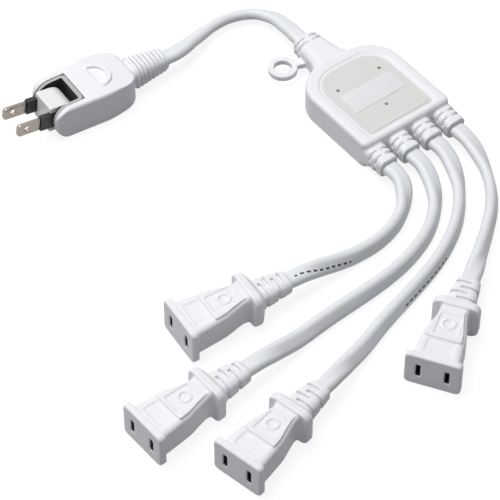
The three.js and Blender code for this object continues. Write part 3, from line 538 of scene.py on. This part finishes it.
printRows = {
    0: {"pitch": 3.2, "dash": 1.9, "along": (64, 93), "across": (0.69, 0.735)},
    2: {"pitch": 3.2, "dash": 2.2, "along": (70, 104), "across": (0.69, 0.735)},
}
cordJobs = []
for i, x in enumerate(branchXs):
    end, endAway = awayFrom(outletPlaces[i], outletBack)
    start = Vector((x, branchMouth["y"] - cordSize["gap"], branchMouth["z"]))
    sheath = plainSheath
    if i in printRows:
        sheath = extrudedSheath("printed white PVC sheath %d" % (i + 1), printRows[i])
    cordJobs.append(("cord_branch_%d" % (i + 1), start, Vector((0, -1, 0)), branchRoutes[i], end, endAway,
                     branchLeans[i], sheath, "connector"))
end, endAway = awayFrom(plugPlace, plugBack)
start = Vector((0, neckMouth["y"] + cordSize["gap"], neckMouth["z"]))
cordJobs.append(("cord_main", start, Vector((0, 1, 0)), mainRoute, end, endAway, mainLean, plainSheath,
                 "plug"))

# Junction box

boxSize = {
    "width": 50.6, "length": 54.0, "height": 15.2, "edge": 1.9, "frontRound": 3.0, "rearRound": 16.8,
    "marginX": 7.3, "marginFront": 4.5, "marginRear": 7.5, "panelRound": 1.5, "panelRearRound": 2,
    "panelGap": 0.1, "panelSeat": 4.7, "rebate": 2.4, "rebateDepth": 0.45,
    "bootLength": 10.7, "bootRoot": (11.0, 10.4), "bootMouth": (9.9, 9.4), "bootSink": 2,
    "bootGrooves": (3.3, 6.7), "bootReach": 6.4,
    "neckLength": 22.0, "neckRoot": 25.0, "neckWaist": 16.0, "neckFlare": 10.0, "neckMouth": (12.0, 8.9),
    "neckLower": 2.6, "neckFall": 1.2, "waistLower": 3.8, "neckSink": 4, "neckWiden": 3, "flarePower": 2.2,
    "neckLip": (12.8, 9.7), "neckSteps": [(5.8, 14.4, 10.8), (0.6, 12.8, 9.7)],
    "neckGrooves": (2.5, 5.4), "neckReach": 9.3, "groove": 1.2, "grooveDepth": 1.1, "bridge": 1.7,
    "ringOuter": 13.9, "ringInner": 8.4, "ringThick": 3.0, "ringMiddle": 5.0, "ringCentre": (-17.4, 42.7),
    "ringEdge": 0.6, "strapFrom": (5.0, -0.9), "strapTo": (-3.0, 39.4), "strapHalf": 2.0, "strapWiden": 1.5,
    "grain": 0.38, "softness": 4,
}


# The outline of the panel, or of the rebate round it when it is let grow
def panelOutline(grow):
    b = boxSize
    x = b["width"] / 2 - b["marginX"] + grow
    front = -b["length"] / 2 + b["marginFront"] - grow
    rear = b["length"] / 2 - b["marginRear"] + grow
    frontRound = b["panelRound"] + grow
    rearRound = b["rearRound"] - b["marginX"] + grow + b["panelRearRound"]
    return roundedOutline([(-x, front, frontRound), (x, front, frontRound), (x, rear, rearRound),
                           (-x, rear, rearRound)], 14)


# Grooves round a tapered strain relief along X, each crossed by four narrow bridges
def bridgedGrooves(places, root, mouth, length, middle, reach):
    b = boxSize
    less = 2 * b["grooveDepth"]
    half = b["bridge"] / 2
    shrink = [(m - r) / length for r, m in zip(root, mouth)]
    inside = [(x, root[0] - less + shrink[0] * x, root[1] - less + shrink[1] * x) for x in (-3, length + 3)]
    cutters = []
    for x in places:
        groove = brick(x - b["groove"] / 2, x + b["groove"] / 2, -reach, reach, -1, 20)
        keeps = [loft(softSection, inside, middle), brick(x - 2, x + 2, -half, half, -9, 34),
                 brick(x - 2, x + 2, -24, 24, middle - half, middle + half)]
        cutters.append(moulded([groove], keeps))
    return cutters


def makeBox():
    b = boxSize
    top = b["height"]
    middle = top / 2
    x, y = b["width"] / 2, b["length"] / 2
    outline = roundedOutline([(-x, -y, b["frontRound"]), (x, -y, b["frontRound"]), (x, y, b["rearRound"]),
                              (-x, y, b["rearRound"])], 18)
    solids = [slab(outline, 0, top, b["edge"], 6)]
    cutters = []
    for branchX in branchXs:
        root, mouth, length = b["bootRoot"], b["bootMouth"], b["bootLength"]
        boot = loft(softSection, [(-b["bootSink"], *root), (0, *root), (length, *mouth)], middle)
        grooves = bridgedGrooves(b["bootGrooves"], root, mouth, length, middle, b["bootReach"])
        solids.append(moved(boot, branchX, -y, turn=-90))
        cutters += [moved(g, branchX, -y, turn=-90) for g in grooves]
    # the neck flares out of the box, then runs on as a grooved strain relief
    flare = [(b["neckSink"], b["neckRoot"] + b["neckWiden"], top - b["neckLower"])]
    for k in range(13):
        t = k / 12
        width = b["neckWaist"] + (b["neckRoot"] - b["neckWaist"]) * (1 - t) ** b["flarePower"]
        flare.append((-t * b["neckFlare"], width, top - b["neckLower"] - b["neckFall"] * t))
    flare.reverse()
    solids.append(moved(loft(softSection, flare, middle), 0, y, turn=-90))
    reach = b["neckLength"] - b["neckFlare"]
    waist = (b["neckWaist"], top - b["waistLower"])
    stations = [(-1, *waist), (0, *waist)] + [(reach - back, *size) for back, *size in b["neckSteps"]]
    relief = loft(softSection, stations + [(reach, *b["neckMouth"])], middle)
    places = [reach - back for back in b["neckGrooves"]]
    grooves = bridgedGrooves(places, waist, b["neckLip"], reach, middle, b["neckReach"])
    solids.append(moved(relief, 0, y + b["neckFlare"], turn=90))
    cutters += [moved(g, 0, y + b["neckFlare"], turn=90) for g in grooves]
    # the hanging ring and the strap that holds it to the neck
    ringX, ringY = b["ringCentre"]
    low, high = b["ringMiddle"] - b["ringThick"] / 2, b["ringMiddle"] + b["ringThick"] / 2
    solids.append(moved(slab(disc(b["ringOuter"] / 2), low, high, b["ringEdge"]), ringX, ringY))
    strapStart = Vector((ringX + b["strapFrom"][0], ringY + b["strapFrom"][1]))
    strapEnd = Vector(b["strapTo"])
    side = Vector(((strapEnd - strapStart).y, -(strapEnd - strapStart).x)).normalized() * b["strapHalf"]
    wide = side * b["strapWiden"]
    solids.append(slab([strapStart + side, strapEnd + wide, strapEnd - wide, strapStart - side], low, high))
    cutters.append(moved(slab(disc(b["ringInner"] / 2), 0, 12), ringX, ringY))
    cutters.append(slab(panelOutline(b["panelGap"]), top - b["panelSeat"], top + 3))
    cutters.append(slab(panelOutline(b["rebate"]), top - b["rebateDepth"], top + 3))
    return moulded(solids, cutters, b["grain"], b["softness"])


finished("box_shell", makeBox(), whitePvc, cordSet, 180, ["box_overmould"])
print("box shell made")

panelSize = {
    "label": (29.2, 12.4), "labelShift": -1.8, "labelRound": 0.8, "rise": 0.2, "labelEdge": 0.12,
    "pinHole": 1.8, "pins": [(-12.2, 8.5), (12.2, 8.5), (0, -11.5)],
    "sunk": 0.5, "overlap": 0.35, "bottom": 7.75,
    "ribInset": 1.2, "ribWidth": 1.3, "ribRound": 0.6, "ribBack": 1.1, "ribRise": 0.25, "ribEdge": 0.24,
}
panelTop = boxSize["height"] - panelSize["sunk"]


def makePanel():
    p = panelSize
    front = -boxSize["length"] / 2 + boxSize["marginFront"]
    x = boxSize["width"] / 2 - boxSize["marginX"]
    solids = [slab(panelOutline(p["overlap"]), p["bottom"], panelTop)]
    outline = roundedBox(2 * (x - p["ribInset"]), p["ribWidth"], p["ribRound"])
    rib = slab(outline, panelTop - 0.5, panelTop + p["ribRise"], p["ribEdge"])
    solids.append(moved(rib, 0, front + p["ribBack"]))
    cutters = []
    for px, py in p["pins"]:
        cutters.append(moved(slab(disc(p["pinHole"] / 2), panelTop - 2, panelTop + 1), px, py))
    return moulded(solids, cutters)


def makeLabel():
    p = panelSize
    width, length = p["label"]
    outline = roundedBox(width, length, p["labelRound"])
    return moved(slab(outline, panelTop - 0.4, panelTop + p["rise"], p["labelEdge"]), 0, p["labelShift"])


finished("panel", makePanel(), panelPlastic, cordSet, 35, ["box_block_upper"])
finished("panel_label_field", makeLabel(), labelPlastic, cordSet, 35, ())
print("panel made")

# Outlets

# Steps of the face and of the rear flange are (x from its start, how much smaller); slits are (back, side)
outletSize = {
    "faceWidth": 24.9, "faceHeight": 18.0, "bodyDrop": 1.9, "bodyLength": 32.5, "saddle": 2.4,
    "saddleStart": 28.5, "faceThick": 3.4,
    "faceSteps": [(0, 0.6), (0.3, 0), (2.7, 0), (3.2, 0.5), (3.4, 1.3)],
    "plan": [(34, 13.8), (31.5, 12.9), (30, 12.8), (28, 13.4), (25.5, 14.7), (23, 16), (21, 17.2),
             (19, 18.2), (15.5, 19), (12, 19.6), (8, 20.4), (4.4, 21), (2.4, 21.2)],
    "rearWidth": 20.9, "rearThick": 6.2, "rearEnd": (15.0, 11.4),
    "rearSteps": [(1.0, 3.6), (2.0, 1.0), (2.8, 0), (5.8, 0), (6.2, 0.7)],
    "padStart": 14.1, "padRise": 0.85, "padInset": 1.5, "padFlare": 0.1, "padRound": 0.8,
    "square": (12.2, 9.8), "squareRound": 1.0, "squareDepth": 0.45, "squareGap": 1.6,
    "ring": (3.1, 2.3), "ringBack": 0.9,
    "rating": (7.8, 12.4), "ratingRound": 0.8, "ratingDepth": 0.4, "ratingBack": 0.9,
    "bootLength": 15.8, "bootRoot": (14, 10.4), "bootMouth": (10.2, 7.2), "bootSink": 1,
    "slits": [(2.3, 1), (5.6, -1), (8.9, 1), (12.2, -1)], "slitDepth": 1.5, "slitWide": 1.3,
    "slitOverlap": 2.0, "slotWidth": 2.1, "slotHeight": 6.9, "slotDepth": 3.3, "lead": 0.9,
    "leadDepth": 0.45, "spacing": 12.7, "shadeLinerFrom": -2.6, "shadeLinerTo": -0.5, "shadeLinerGrip": 0.1,
    "shadeLinerWall": 0.15,
    "pocket": (-19.2, -2, 8.35, 4.9), "grain": 0.28, "softness": 3,
}


# A tapered strain relief along X with staggered slits cut into it from both sides
def slitRelief(rootX, middle):
    o = outletSize
    root, mouth = o["bootRoot"], o["bootMouth"]
    start = rootX + o["bootSink"]
    run = rootX - o["bootLength"] - start

    def at(t, less):
        width = root[0] + t * (mouth[0] - root[0]) - less
        return (start + t * run, width, root[1] + t * (mouth[1] - root[1]) - less)

    stations = [at(1, 0.8), at(0.95, 0), at(0.5, 0), at(0, 0)]
    inside = [at(1.2, 2 * o["slitDepth"]), at(-0.2, 2 * o["slitDepth"])]
    cutters = []
    for back, side in o["slits"]:
        x = rootX - back
        low, high = (-o["slitOverlap"], 20) if side > 0 else (-20, o["slitOverlap"])
        groove = brick(x - o["slitWide"] / 2, x + o["slitWide"] / 2, low, high, -5, 30)
        cutters.append(moulded([groove], [loft(softSection, inside, middle)]))
    return loft(softSection, stations, middle), cutters


# A brick of the section of the left or right slot, or larger by grow on every side
def slotBrick(x0, x1, side, grow):
    o = outletSize
    y, z = side * o["spacing"] / 2, o["faceHeight"] / 2
    wide, high = o["slotWidth"] / 2 + grow, o["slotHeight"] / 2 + grow
    return brick(x0, x1, y - wide, y + wide, z - high, z + high)


def makeOutlet():
    o = outletSize
    width, height = o["faceWidth"], o["faceHeight"]
    middle = height / 2
    top = height - o["bodyDrop"]

    # the body swells a little in height where it runs into the rear flange
    def swell(back):
        return o["saddle"] * max(0, (back - o["saddleStart"]) / (o["bodyLength"] - o["saddleStart"])) ** 2

    low = height - 2 * o["bodyDrop"]
    body = loft(boxySection, [(-back, wide, low + swell(back)) for back, wide in o["plan"]], middle)
    # a raised pad follows the body's waist and carries a square recess with a ring in it
    padSide = [(-back, wide / 2 - o["padInset"], 0) for back, wide in o["plan"] if back > o["padStart"]]
    padSide.append((-o["padStart"], padSide[-1][1] + o["padFlare"], o["padRound"]))
    padOther = [(x, -y, r) for x, y, r in padSide][::-1]
    padTop = top + o["padRise"]
    squareFloor = padTop - o["squareDepth"]
    pad = slab(roundedOutline(padOther + padSide, 4), top - 1, padTop)
    centre = -o["padStart"] - o["squareGap"] - o["square"][0] / 2
    square = moved(slab(roundedBox(*o["square"], o["squareRound"]), squareFloor, padTop + 1), centre)
    outer, inner = o["ring"]
    ring = moved(slab(disc(outer), squareFloor - 0.6, padTop), centre - o["ringBack"])
    bore = moved(slab(disc(inner), squareFloor - 0.1, padTop + 1), centre - o["ringBack"])
    # the bare recess between the pad and the face
    ratingX = -(o["faceThick"] + o["padStart"]) / 2 - o["ratingBack"]
    outline = roundedBox(*o["rating"], o["ratingRound"])
    rating = moved(slab(outline, top - o["ratingDepth"], top + 0.3), ratingX)
    face = loft(roundedBox(1, 1, 0.1),
                [(x - o["faceThick"], width - less, height - less) for x, less in o["faceSteps"]], middle)
    root = -o["bodyLength"] - o["rearThick"]
    rearSteps = [(root + x, o["rearWidth"] - less, height - less) for x, less in o["rearSteps"]]
    rear = loft(roundedBox(1, 1, 0.2), [(root, *o["rearEnd"])] + rearSteps, middle)
    boot, grooves = slitRelief(root, middle)
    # the slots widen at the face and open behind it into the pocket of the insert
    wide, high = o["slotWidth"] + o["lead"], o["slotHeight"] + o["lead"]
    slots = []
    for side in (-1, 1):
        slots.append(slotBrick(-o["slotDepth"], 1, side, 0))
        funnel = [(-o["leadDepth"], o["slotWidth"], o["slotHeight"]), (0, wide, high), (1, wide, high)]
        slots.append(moved(loft(roundedBox(1, 1, 0.12, 3), funnel, middle), 0, side * o["spacing"] / 2))
    back, front, halfWidth, halfHeight = o["pocket"]
    pocket = brick(back, front, -halfWidth, halfWidth, middle - halfHeight, middle + halfHeight)
    carved = moulded([body, pad], [square, rating])
    return moulded([carved, ring, face, rear, boot], [bore, pocket] + slots + grooves, o["grain"],
                   o["softness"])


# The dark noses of the insert that line both slots: painted shade, so that the slots look black inside
def makeSlotShadeLiners():
    o = outletSize
    noses = [slotBrick(o["shadeLinerFrom"], o["shadeLinerTo"], side, o["shadeLinerGrip"]) for side in (-1, 1)]
    bores = [slotBrick(-4, 1, side, -o["shadeLinerWall"]) for side in (-1, 1)]
    return moulded(noses, bores)


outletShape = makeOutlet()
slotShadeShape = makeSlotShadeLiners()
for i, (x, y, heading) in enumerate(outletPlaces):
    name = "outlet_%d" % (i + 1)
    shape = moved(outletShape.copy(), x, y, turn=heading)
    finished(name + "_moulding", shape, whitePvc, cordSet, 180, [name + "_overmould"])
    # dark painted shade lining the slots of this outlet
    liners = moved(slotShadeShape.copy(), x, y, turn=heading)
    finished(name + "_slot_shade_liners", liners, slotShadePlastic, cordSet, 30, ())
print("outlets made")

# Plug

plugSize = {
    "width": 28.0, "height": 17.5, "rear": 39.3, "rearHalf": 11.8, "rearRound": 9.5, "rearHeight": 13.6,
    "frontRound": 4.0, "edge": 1.6, "front": 6.4, "frontWidth": 24.4, "forkBack": 10.6, "forkHalf": 9.6,
    "waistShare": 0.55, "waistRound": 20, "profileRound": 30, "rearEdge": 3.5,
    "gripRadius": 8.0, "gripRim": 1.8, "gripRise": 0.55, "gripDepth": 0.8, "gripFront": 21.1,
    "gripLip": 0.6, "bootLength": 19.5, "bootRoot": (12.6, 11.0), "bootMouth": (9.6, 6.8),
    "bootLip": (1, 0.6), "bootSink": (3, 5, 3), "grain": 0.32, "softness": 4,
}
ribInputs = {"Count": 8, "Rib radius": 0.95, "Root width": 13.2, "Root height": 11.6, "Corner round": 4.2,
             "Mouth share": 9.8 / 13.2, "First": 41.2, "Last": 56.4}


# Puts a shape made about the hinge axis where the plug lies
def onPlug(mesh):
    return moved(mesh, plugPlace[0], plugPlace[1], turn=plugPlace[2])


def makePlug():
    p = plugSize
    half, height, tip = p["width"] / 2, p["height"], p["frontWidth"] / 2
    middle = height / 2
    waist = -p["waistShare"] * p["rear"]
    rearHalf, rearRound = p["rearHalf"], p["rearRound"]
    plan = roundedOutline([
        (p["front"], -tip, p["frontRound"]), (p["front"], tip, p["frontRound"]),
        (waist, half, p["waistRound"]), (-p["rear"], rearHalf, rearRound),
        (-p["rear"], -rearHalf, rearRound), (waist, -half, p["waistRound"])], 18)
    low = middle - p["rearHeight"] / 2
    profile = roundedOutline([
        (p["front"], 0, middle), (p["front"], height, middle), (waist, height, p["profileRound"]),
        (-p["rear"], height - low, p["rearEdge"]), (-p["rear"], low, p["rearEdge"]),
        (waist, 0, p["profileRound"])], 18)
    body = combined(slab(plan, 0, height, p["edge"], 5),
                    [("INTERSECT", crossSlab(profile, -half - 1, half + 1))])
    end = -p["rear"] - p["bootLength"]
    lip, growth = p["bootLip"]
    sink, widen, heighten = p["bootSink"]
    boot = loft(softSection, [
        (end, *p["bootMouth"]), (end + lip, p["bootMouth"][0] + growth, p["bootMouth"][1] + growth),
        (-p["rear"], *p["bootRoot"]),
        (-p["rear"] + sink, p["bootRoot"][0] + widen, p["bootRoot"][1] + heighten)], middle)
    # the half-round grip on top: a raised rim with a dimple in it
    ridge = slab(halfDisc(p["gripRadius"], -p["gripFront"]), height - 1, height + p["gripRise"])
    outline = halfDisc(p["gripRadius"] - p["gripRim"], -p["gripFront"] + p["gripLip"])
    dimple = slab(outline, height - p["gripDepth"], height + 3)
    fork = brick(-p["forkBack"], middle + 2, -p["forkHalf"], p["forkHalf"], -2, height + 2)
    mesh = moulded([body, boot, ridge], [dimple, fork], p["grain"], p["softness"])
    return onPlug(mesh)


finished("plug_moulding", makePlug(), whitePvc, cordSet, 180, ["plug_overmould"])
print("plug body made")

frameSize = {"half": 9.3, "back": 10.3, "wall": 1.4, "rearWall": 2.0, "front": 5.8, "below": 0.5,
             "cornerRound": 2.2, "innerRound": 0.8, "rearEdge": 4, "shadedFrom": -6}


# The grey U-shaped frame round the swing head; its inner walls carry near-black painted shade
def makePlugFrame():
    f = frameSize
    height = plugSize["height"]
    middle = height / 2
    radius = middle - f["below"]

    def plan(wall, rearWall, cornerRound, front):
        half = f["half"] - wall
        rear = -(f["back"] - rearWall)
        return roundedOutline([(front, -half, 0), (front, half, 0), (rear, half, cornerRound),
                               (rear, -half, cornerRound)], 8)

    low, high = middle - radius, middle + radius
    profile = roundedOutline([(f["front"], low, radius), (f["front"], high, radius),
                              (-30, high, f["rearEdge"]), (-30, low, f["rearEdge"])], 18)
    room = slab(plan(f["wall"], f["rearWall"], f["innerRound"], middle + 9), -3, height + 3)
    mesh = combined(slab(plan(0, 0, f["cornerRound"], middle), 0, height),
                    [("DIFFERENCE", room), ("INTERSECT", crossSlab(profile, -20, 20))])
    mesh.materials.clear()
    mesh.materials.append(framePlastic)
    mesh.materials.append(swingRoomShade)
    # inner side walls, and the end walls towards the rear, get the near-black painted shade; the rest stays
    # grey
    for polygon in mesh.polygons:
        endWall = abs(polygon.normal.z) < 0.3 and polygon.center.x < f["shadedFrom"]
        polygon.material_index = 1 if abs(polygon.normal.y) > 0.5 or endWall else 0
    return onPlug(mesh)


finished("plug_frame", makePlugFrame(), None, cordSet, 35, ["plug_frame_upper", "plug_frame_lower"])
print("plug frame made")


# Ribs round the plug's strain relief: one rounded ring, repeated along it and growing towards the plug
def makeRibs():
    tree = bpy.data.node_groups.new("strain relief ribs", "GeometryNodeTree")
    tree.interface.new_socket("Geometry", in_out="OUTPUT", socket_type="NodeSocketGeometry")
    sockets = {}
    for label in ribInputs:
        kind = "NodeSocketInt" if label == "Count" else "NodeSocketFloat"
        sockets[label] = tree.interface.new_socket(label, in_out="INPUT", socket_type=kind).identifier

    # the first output of a new node
    def made(kind, inputs, settings=None):
        return addNode(tree, kind, settings, inputs).outputs[0]

    given = addNode(tree, "NodeGroupInput").outputs
    span = arithmetic(tree, "SUBTRACT", given["First"], given["Last"])
    gaps = arithmetic(tree, "SUBTRACT", given["Count"], 1.0)
    pitch = arithmetic(tree, "DIVIDE", span, gaps)
    start = arithmetic(tree, "MULTIPLY", given["First"], -1.0)
    startAt = made("ShaderNodeCombineXYZ", {"X": start, "Z": plugSize["height"] / 2})
    stepBy = made("ShaderNodeCombineXYZ", {"X": pitch})
    inputs = {"Count": given["Count"], "Start Location": startAt, "Offset": stepBy}
    line = made("GeometryNodeMeshLine", inputs)
    inputs = {"Width": given["Root height"], "Height": given["Root width"]}
    outline = made("GeometryNodeCurvePrimitiveQuadrilateral", inputs)
    inputs = {"Curve": outline, "Count": 8, "Radius": given["Corner round"]}
    fillet = made("GeometryNodeFilletCurve", inputs, {"mode": "POLY"})
    bead = made("GeometryNodeCurvePrimitiveCircle", {"Resolution": 14, "Radius": given["Rib radius"]})
    rib = made("GeometryNodeCurveToMesh", {"Curve": fillet, "Profile Curve": bead})
    upright = made("GeometryNodeTransform", {"Geometry": rib, "Rotation": (0, math.pi / 2, 0)})
    share = arithmetic(tree, "DIVIDE", made("GeometryNodeInputIndex", {}), gaps)
    size = made("ShaderNodeMapRange", {"Value": share, "To Min": 1.0, "To Max": given["Mouth share"]})
    scale = made("ShaderNodeCombineXYZ", {"X": 1.0, "Y": size, "Z": size})
    copies = made("GeometryNodeInstanceOnPoints", {"Points": line, "Instance": upright, "Scale": scale})
    real = made("GeometryNodeRealizeInstances", {"Geometry": copies})
    coated = made("GeometryNodeSetMaterial", {"Geometry": real, "Material": whitePvc})
    result = addNode(tree, "NodeGroupOutput")
    tree.links.new(coated, result.inputs[0])
    host = asObject(bpy.data.meshes.new("ribs"))
    modifier = host.modifiers.new("ribs", "NODES")
    modifier.node_group = tree
    for label, value in ribInputs.items():
        modifier[sockets[label]] = value
    mesh = settled(host)
    bpy.data.objects.remove(host)
    shape = bmesh.new()
    shape.from_mesh(mesh)
    bmesh.ops.remove_doubles(shape, verts=shape.verts, dist=1e-4)
    bmesh.ops.recalc_face_normals(shape, faces=shape.faces)
    shape.to_mesh(mesh)
    shape.free()
    return onPlug(mesh)


finished("plug_boot_ribs", makeRibs(), whitePvc, cordSet, 180, ())
print("plug ribs made")

# Swing head, made level about its axis and then tilted as it stands at rest

headSize = {
    "tilt": 8.0, "half": 6.8, "front": 7.0, "frontRound": 0.9, "width": 13.3, "grain": 0.2, "softness": 4,
    "roomBack": -5.2, "roomHalf": 4.0, "roomInner": 4.75,
    "bladeSpacing": 12.7, "bladeThick": 1.5, "bladeHeight": 6.3, "bladeEdge": 0.18, "plateStart": 12.4,
    "tip": 24.0, "tipRound": 1.6, "hole": 3.0, "holeFromTip": 5.0,
    "footStart": -2.1, "footThick": 0.9, "footHeight": 4.1,
}


def onHead(mesh):
    place = Matrix.Translation((plugPlace[0], plugPlace[1], plugSize["height"] / 2))
    heading = Matrix.Rotation(math.radians(plugPlace[2]), 4, "Z")
    mesh.transform(place @ heading @ Matrix.Rotation(math.radians(-headSize["tilt"]), 4, "Y"))
    return mesh


# The head's white block, square in front and round behind, with rooms for the feet of the blades
def makeDrum():
    h = headSize
    half = h["half"]
    outline = roundedOutline([(h["front"], -half, h["frontRound"]), (h["front"], half, h["frontRound"]),
                              (-half, half, half), (-half, -half, half)], 20)
    drum = crossSlab(outline, -h["width"] / 2, h["width"] / 2)
    rooms = []
    for low, high in ((-20, -h["roomInner"]), (h["roomInner"], 20)):
        rooms.append(brick(h["roomBack"], 9, low, high, -h["roomHalf"], h["roomHalf"]))
    return onHead(moulded([drum], rooms, h["grain"], h["softness"]))


finished("swing_head_moulding", makeDrum(), headPlastic, headBody, 180, ["swing_head"])


def makeBlade(side):
    h = headSize
    y = side * h["bladeSpacing"] / 2
    half, start, tip = h["bladeHeight"] / 2, h["plateStart"], h["tip"]
    outline = roundedOutline([(start, -half, 0), (tip, -half, h["tipRound"]), (tip, half, h["tipRound"]),
                              (start, half, 0)], 8)
    plate = crossSlab(outline, y - h["bladeThick"] / 2, y + h["bladeThick"] / 2)
    thick, high = h["footThick"] / 2, h["footHeight"] / 2
    foot = brick(h["footStart"], start + 0.5, y - thick, y + thick, -high, high)
    middle = Vector((tip - h["holeFromTip"], 0))
    hole = crossSlab([p + middle for p in disc(h["hole"] / 2, 40)], y - 3, y + 3)
    body = asObject(moulded([plate, foot], [hole]))
    edge = body.modifiers.new("edge", "BEVEL")
    edge.width = h["bladeEdge"]
    edge.segments = 2
    edge.limit_method = "ANGLE"
    edge.angle_limit = math.radians(50)
    mesh = settled(body)
    bpy.data.objects.remove(body)
    return onHead(mesh)


for side, pole in ((-1, "live"), (1, "neutral")):
    finished("blade_%s_plated" % pole, makeBlade(side), platedBrass, headBody, 35, ["blade_" + pole])
print("swing head made")

# Cords, now that the pieces on them stand

plugPieces = ["plug_moulding", "plug_boot_ribs", "swing_head_moulding", "blade_live_plated",
              "blade_neutral_plated", "blade_sleeve_live", "blade_sleeve_neutral", "plug_frame",
              "plug_spring_live", "plug_spring_neutral", "plug_core_live", "plug_core_neutral"]
outletPieces = ["moulding", "slot_shade_liners", "insert", "contact_live", "contact_neutral", "core_live",
                "core_neutral"]
for job in cordJobs:
    names = plugPieces
    if job[0] != "cord_main":
        names = ["outlet_%s_%s" % (job[0][-1], piece) for piece in outletPieces]
    flatCord(*job, [bpy.data.objects[n] for n in names])
print("cords made")

# Finishes of the nodes that keep their own shape

nodeFinishes = {"box_block_lower": panelPlastic, "blade_sleeve_live": sleevePlastic,
                "blade_sleeve_neutral": sleevePlastic}
for name, node in frame["nodes"].items():
    finish = nodeFinishes.get(name)
    if "contact" in name or "busbar" in name or "spring" in name:
        finish = springBrass
    elif "_core_live" in name:
        finish = blackCore
    elif "_core_neutral" in name:
        finish = whiteCore
    elif "_insert" in name:
        # the inserts behind the slots take the same dark painted shade
        finish = slotShadePlastic
    if finish:
        node.data.materials.clear()
        node.data.materials.append(finish)

# Floor, light and background

floorSize = 6.0


def emptied(owner):
    owner.use_nodes = True
    owner.node_tree.nodes.clear()
    return owner.node_tree


# One shader for rays that see the studio, from the camera, off a gloss or through glass, and another for
# those that light the object
def seenOrNot(tree, seen, unseen):
    rays = addNode(tree, "ShaderNodeLightPath").outputs
    direct = arithmetic(tree, "MAXIMUM", rays["Is Camera Ray"], rays["Is Glossy Ray"])
    every = arithmetic(tree, "MAXIMUM", direct, rays["Is Transmission Ray"])
    inputs = {0: every, 1: unseen.outputs[0], 2: seen.outputs[0]}
    return addNode(tree, "ShaderNodeMixShader", None, inputs).outputs[0]


floorMesh = brick(-floorSize / 2, floorSize / 2, -floorSize / 2, floorSize / 2, -0.02, 0)
floor = asObject(floorMesh, "floor")
# A paper sweep that the camera sees as white, but that throws no more light on the object than a grey one
paper = bpy.data.materials.new("white paper sweep")
tree = emptied(paper)
matte = addNode(tree, "ShaderNodeBsdfDiffuse", None, {"Color": linearColour("#97999c")})
glow = addNode(tree, "ShaderNodeEmission", None, {"Color": (1, 1, 1, 1), "Strength": 0.86})
half = addNode(tree, "ShaderNodeBsdfDiffuse", None, {"Color": (0.22, 0.22, 0.225, 1)})
bright = addNode(tree, "ShaderNodeAddShader", None, {0: glow.outputs[0], 1: half.outputs[0]})
addNode(tree, "ShaderNodeOutputMaterial", None, {"Surface": seenOrNot(tree, bright, matte)})
floorMesh.materials.append(paper)

world = bpy.data.worlds.new("studio")
scene.world = world
tree = emptied(world)
dim = addNode(tree, "ShaderNodeBackground", None, {"Color": (1, 1, 1.01, 1), "Strength": 0.2})
white = addNode(tree, "ShaderNodeBackground", None, {"Color": (1, 1, 1, 1), "Strength": 1.0})
addNode(tree, "ShaderNodeOutputWorld", None, {"Surface": seenOrNot(tree, white, dim)})

# A broad lamp above and behind lights the tops and leaves the sides grey; a weak one lifts the left faces
lampAim = Vector((-0.09, -0.03, 0))
lamps = {
    "above": {"at": (-0.2, 0.36, 1.25), "size": 1.0, "power": 14.8},
    "leftBehind": {"at": (-1.1, 0.5, 0.7), "size": 0.7, "power": 1.6},
}
for name, lamp in lamps.items():
    data = bpy.data.lights.new(name, "AREA")
    data.energy = lamp["power"]
    data.size = lamp["size"]
    light = bpy.data.objects.new(name, data)
    light.location = lamp["at"]
    light.rotation_euler = (lampAim - Vector(lamp["at"])).to_track_quat("-Z", "Y").to_euler()
    scene.collection.objects.link(light)
scene.view_settings.view_transform = "Standard"
print("studio set")

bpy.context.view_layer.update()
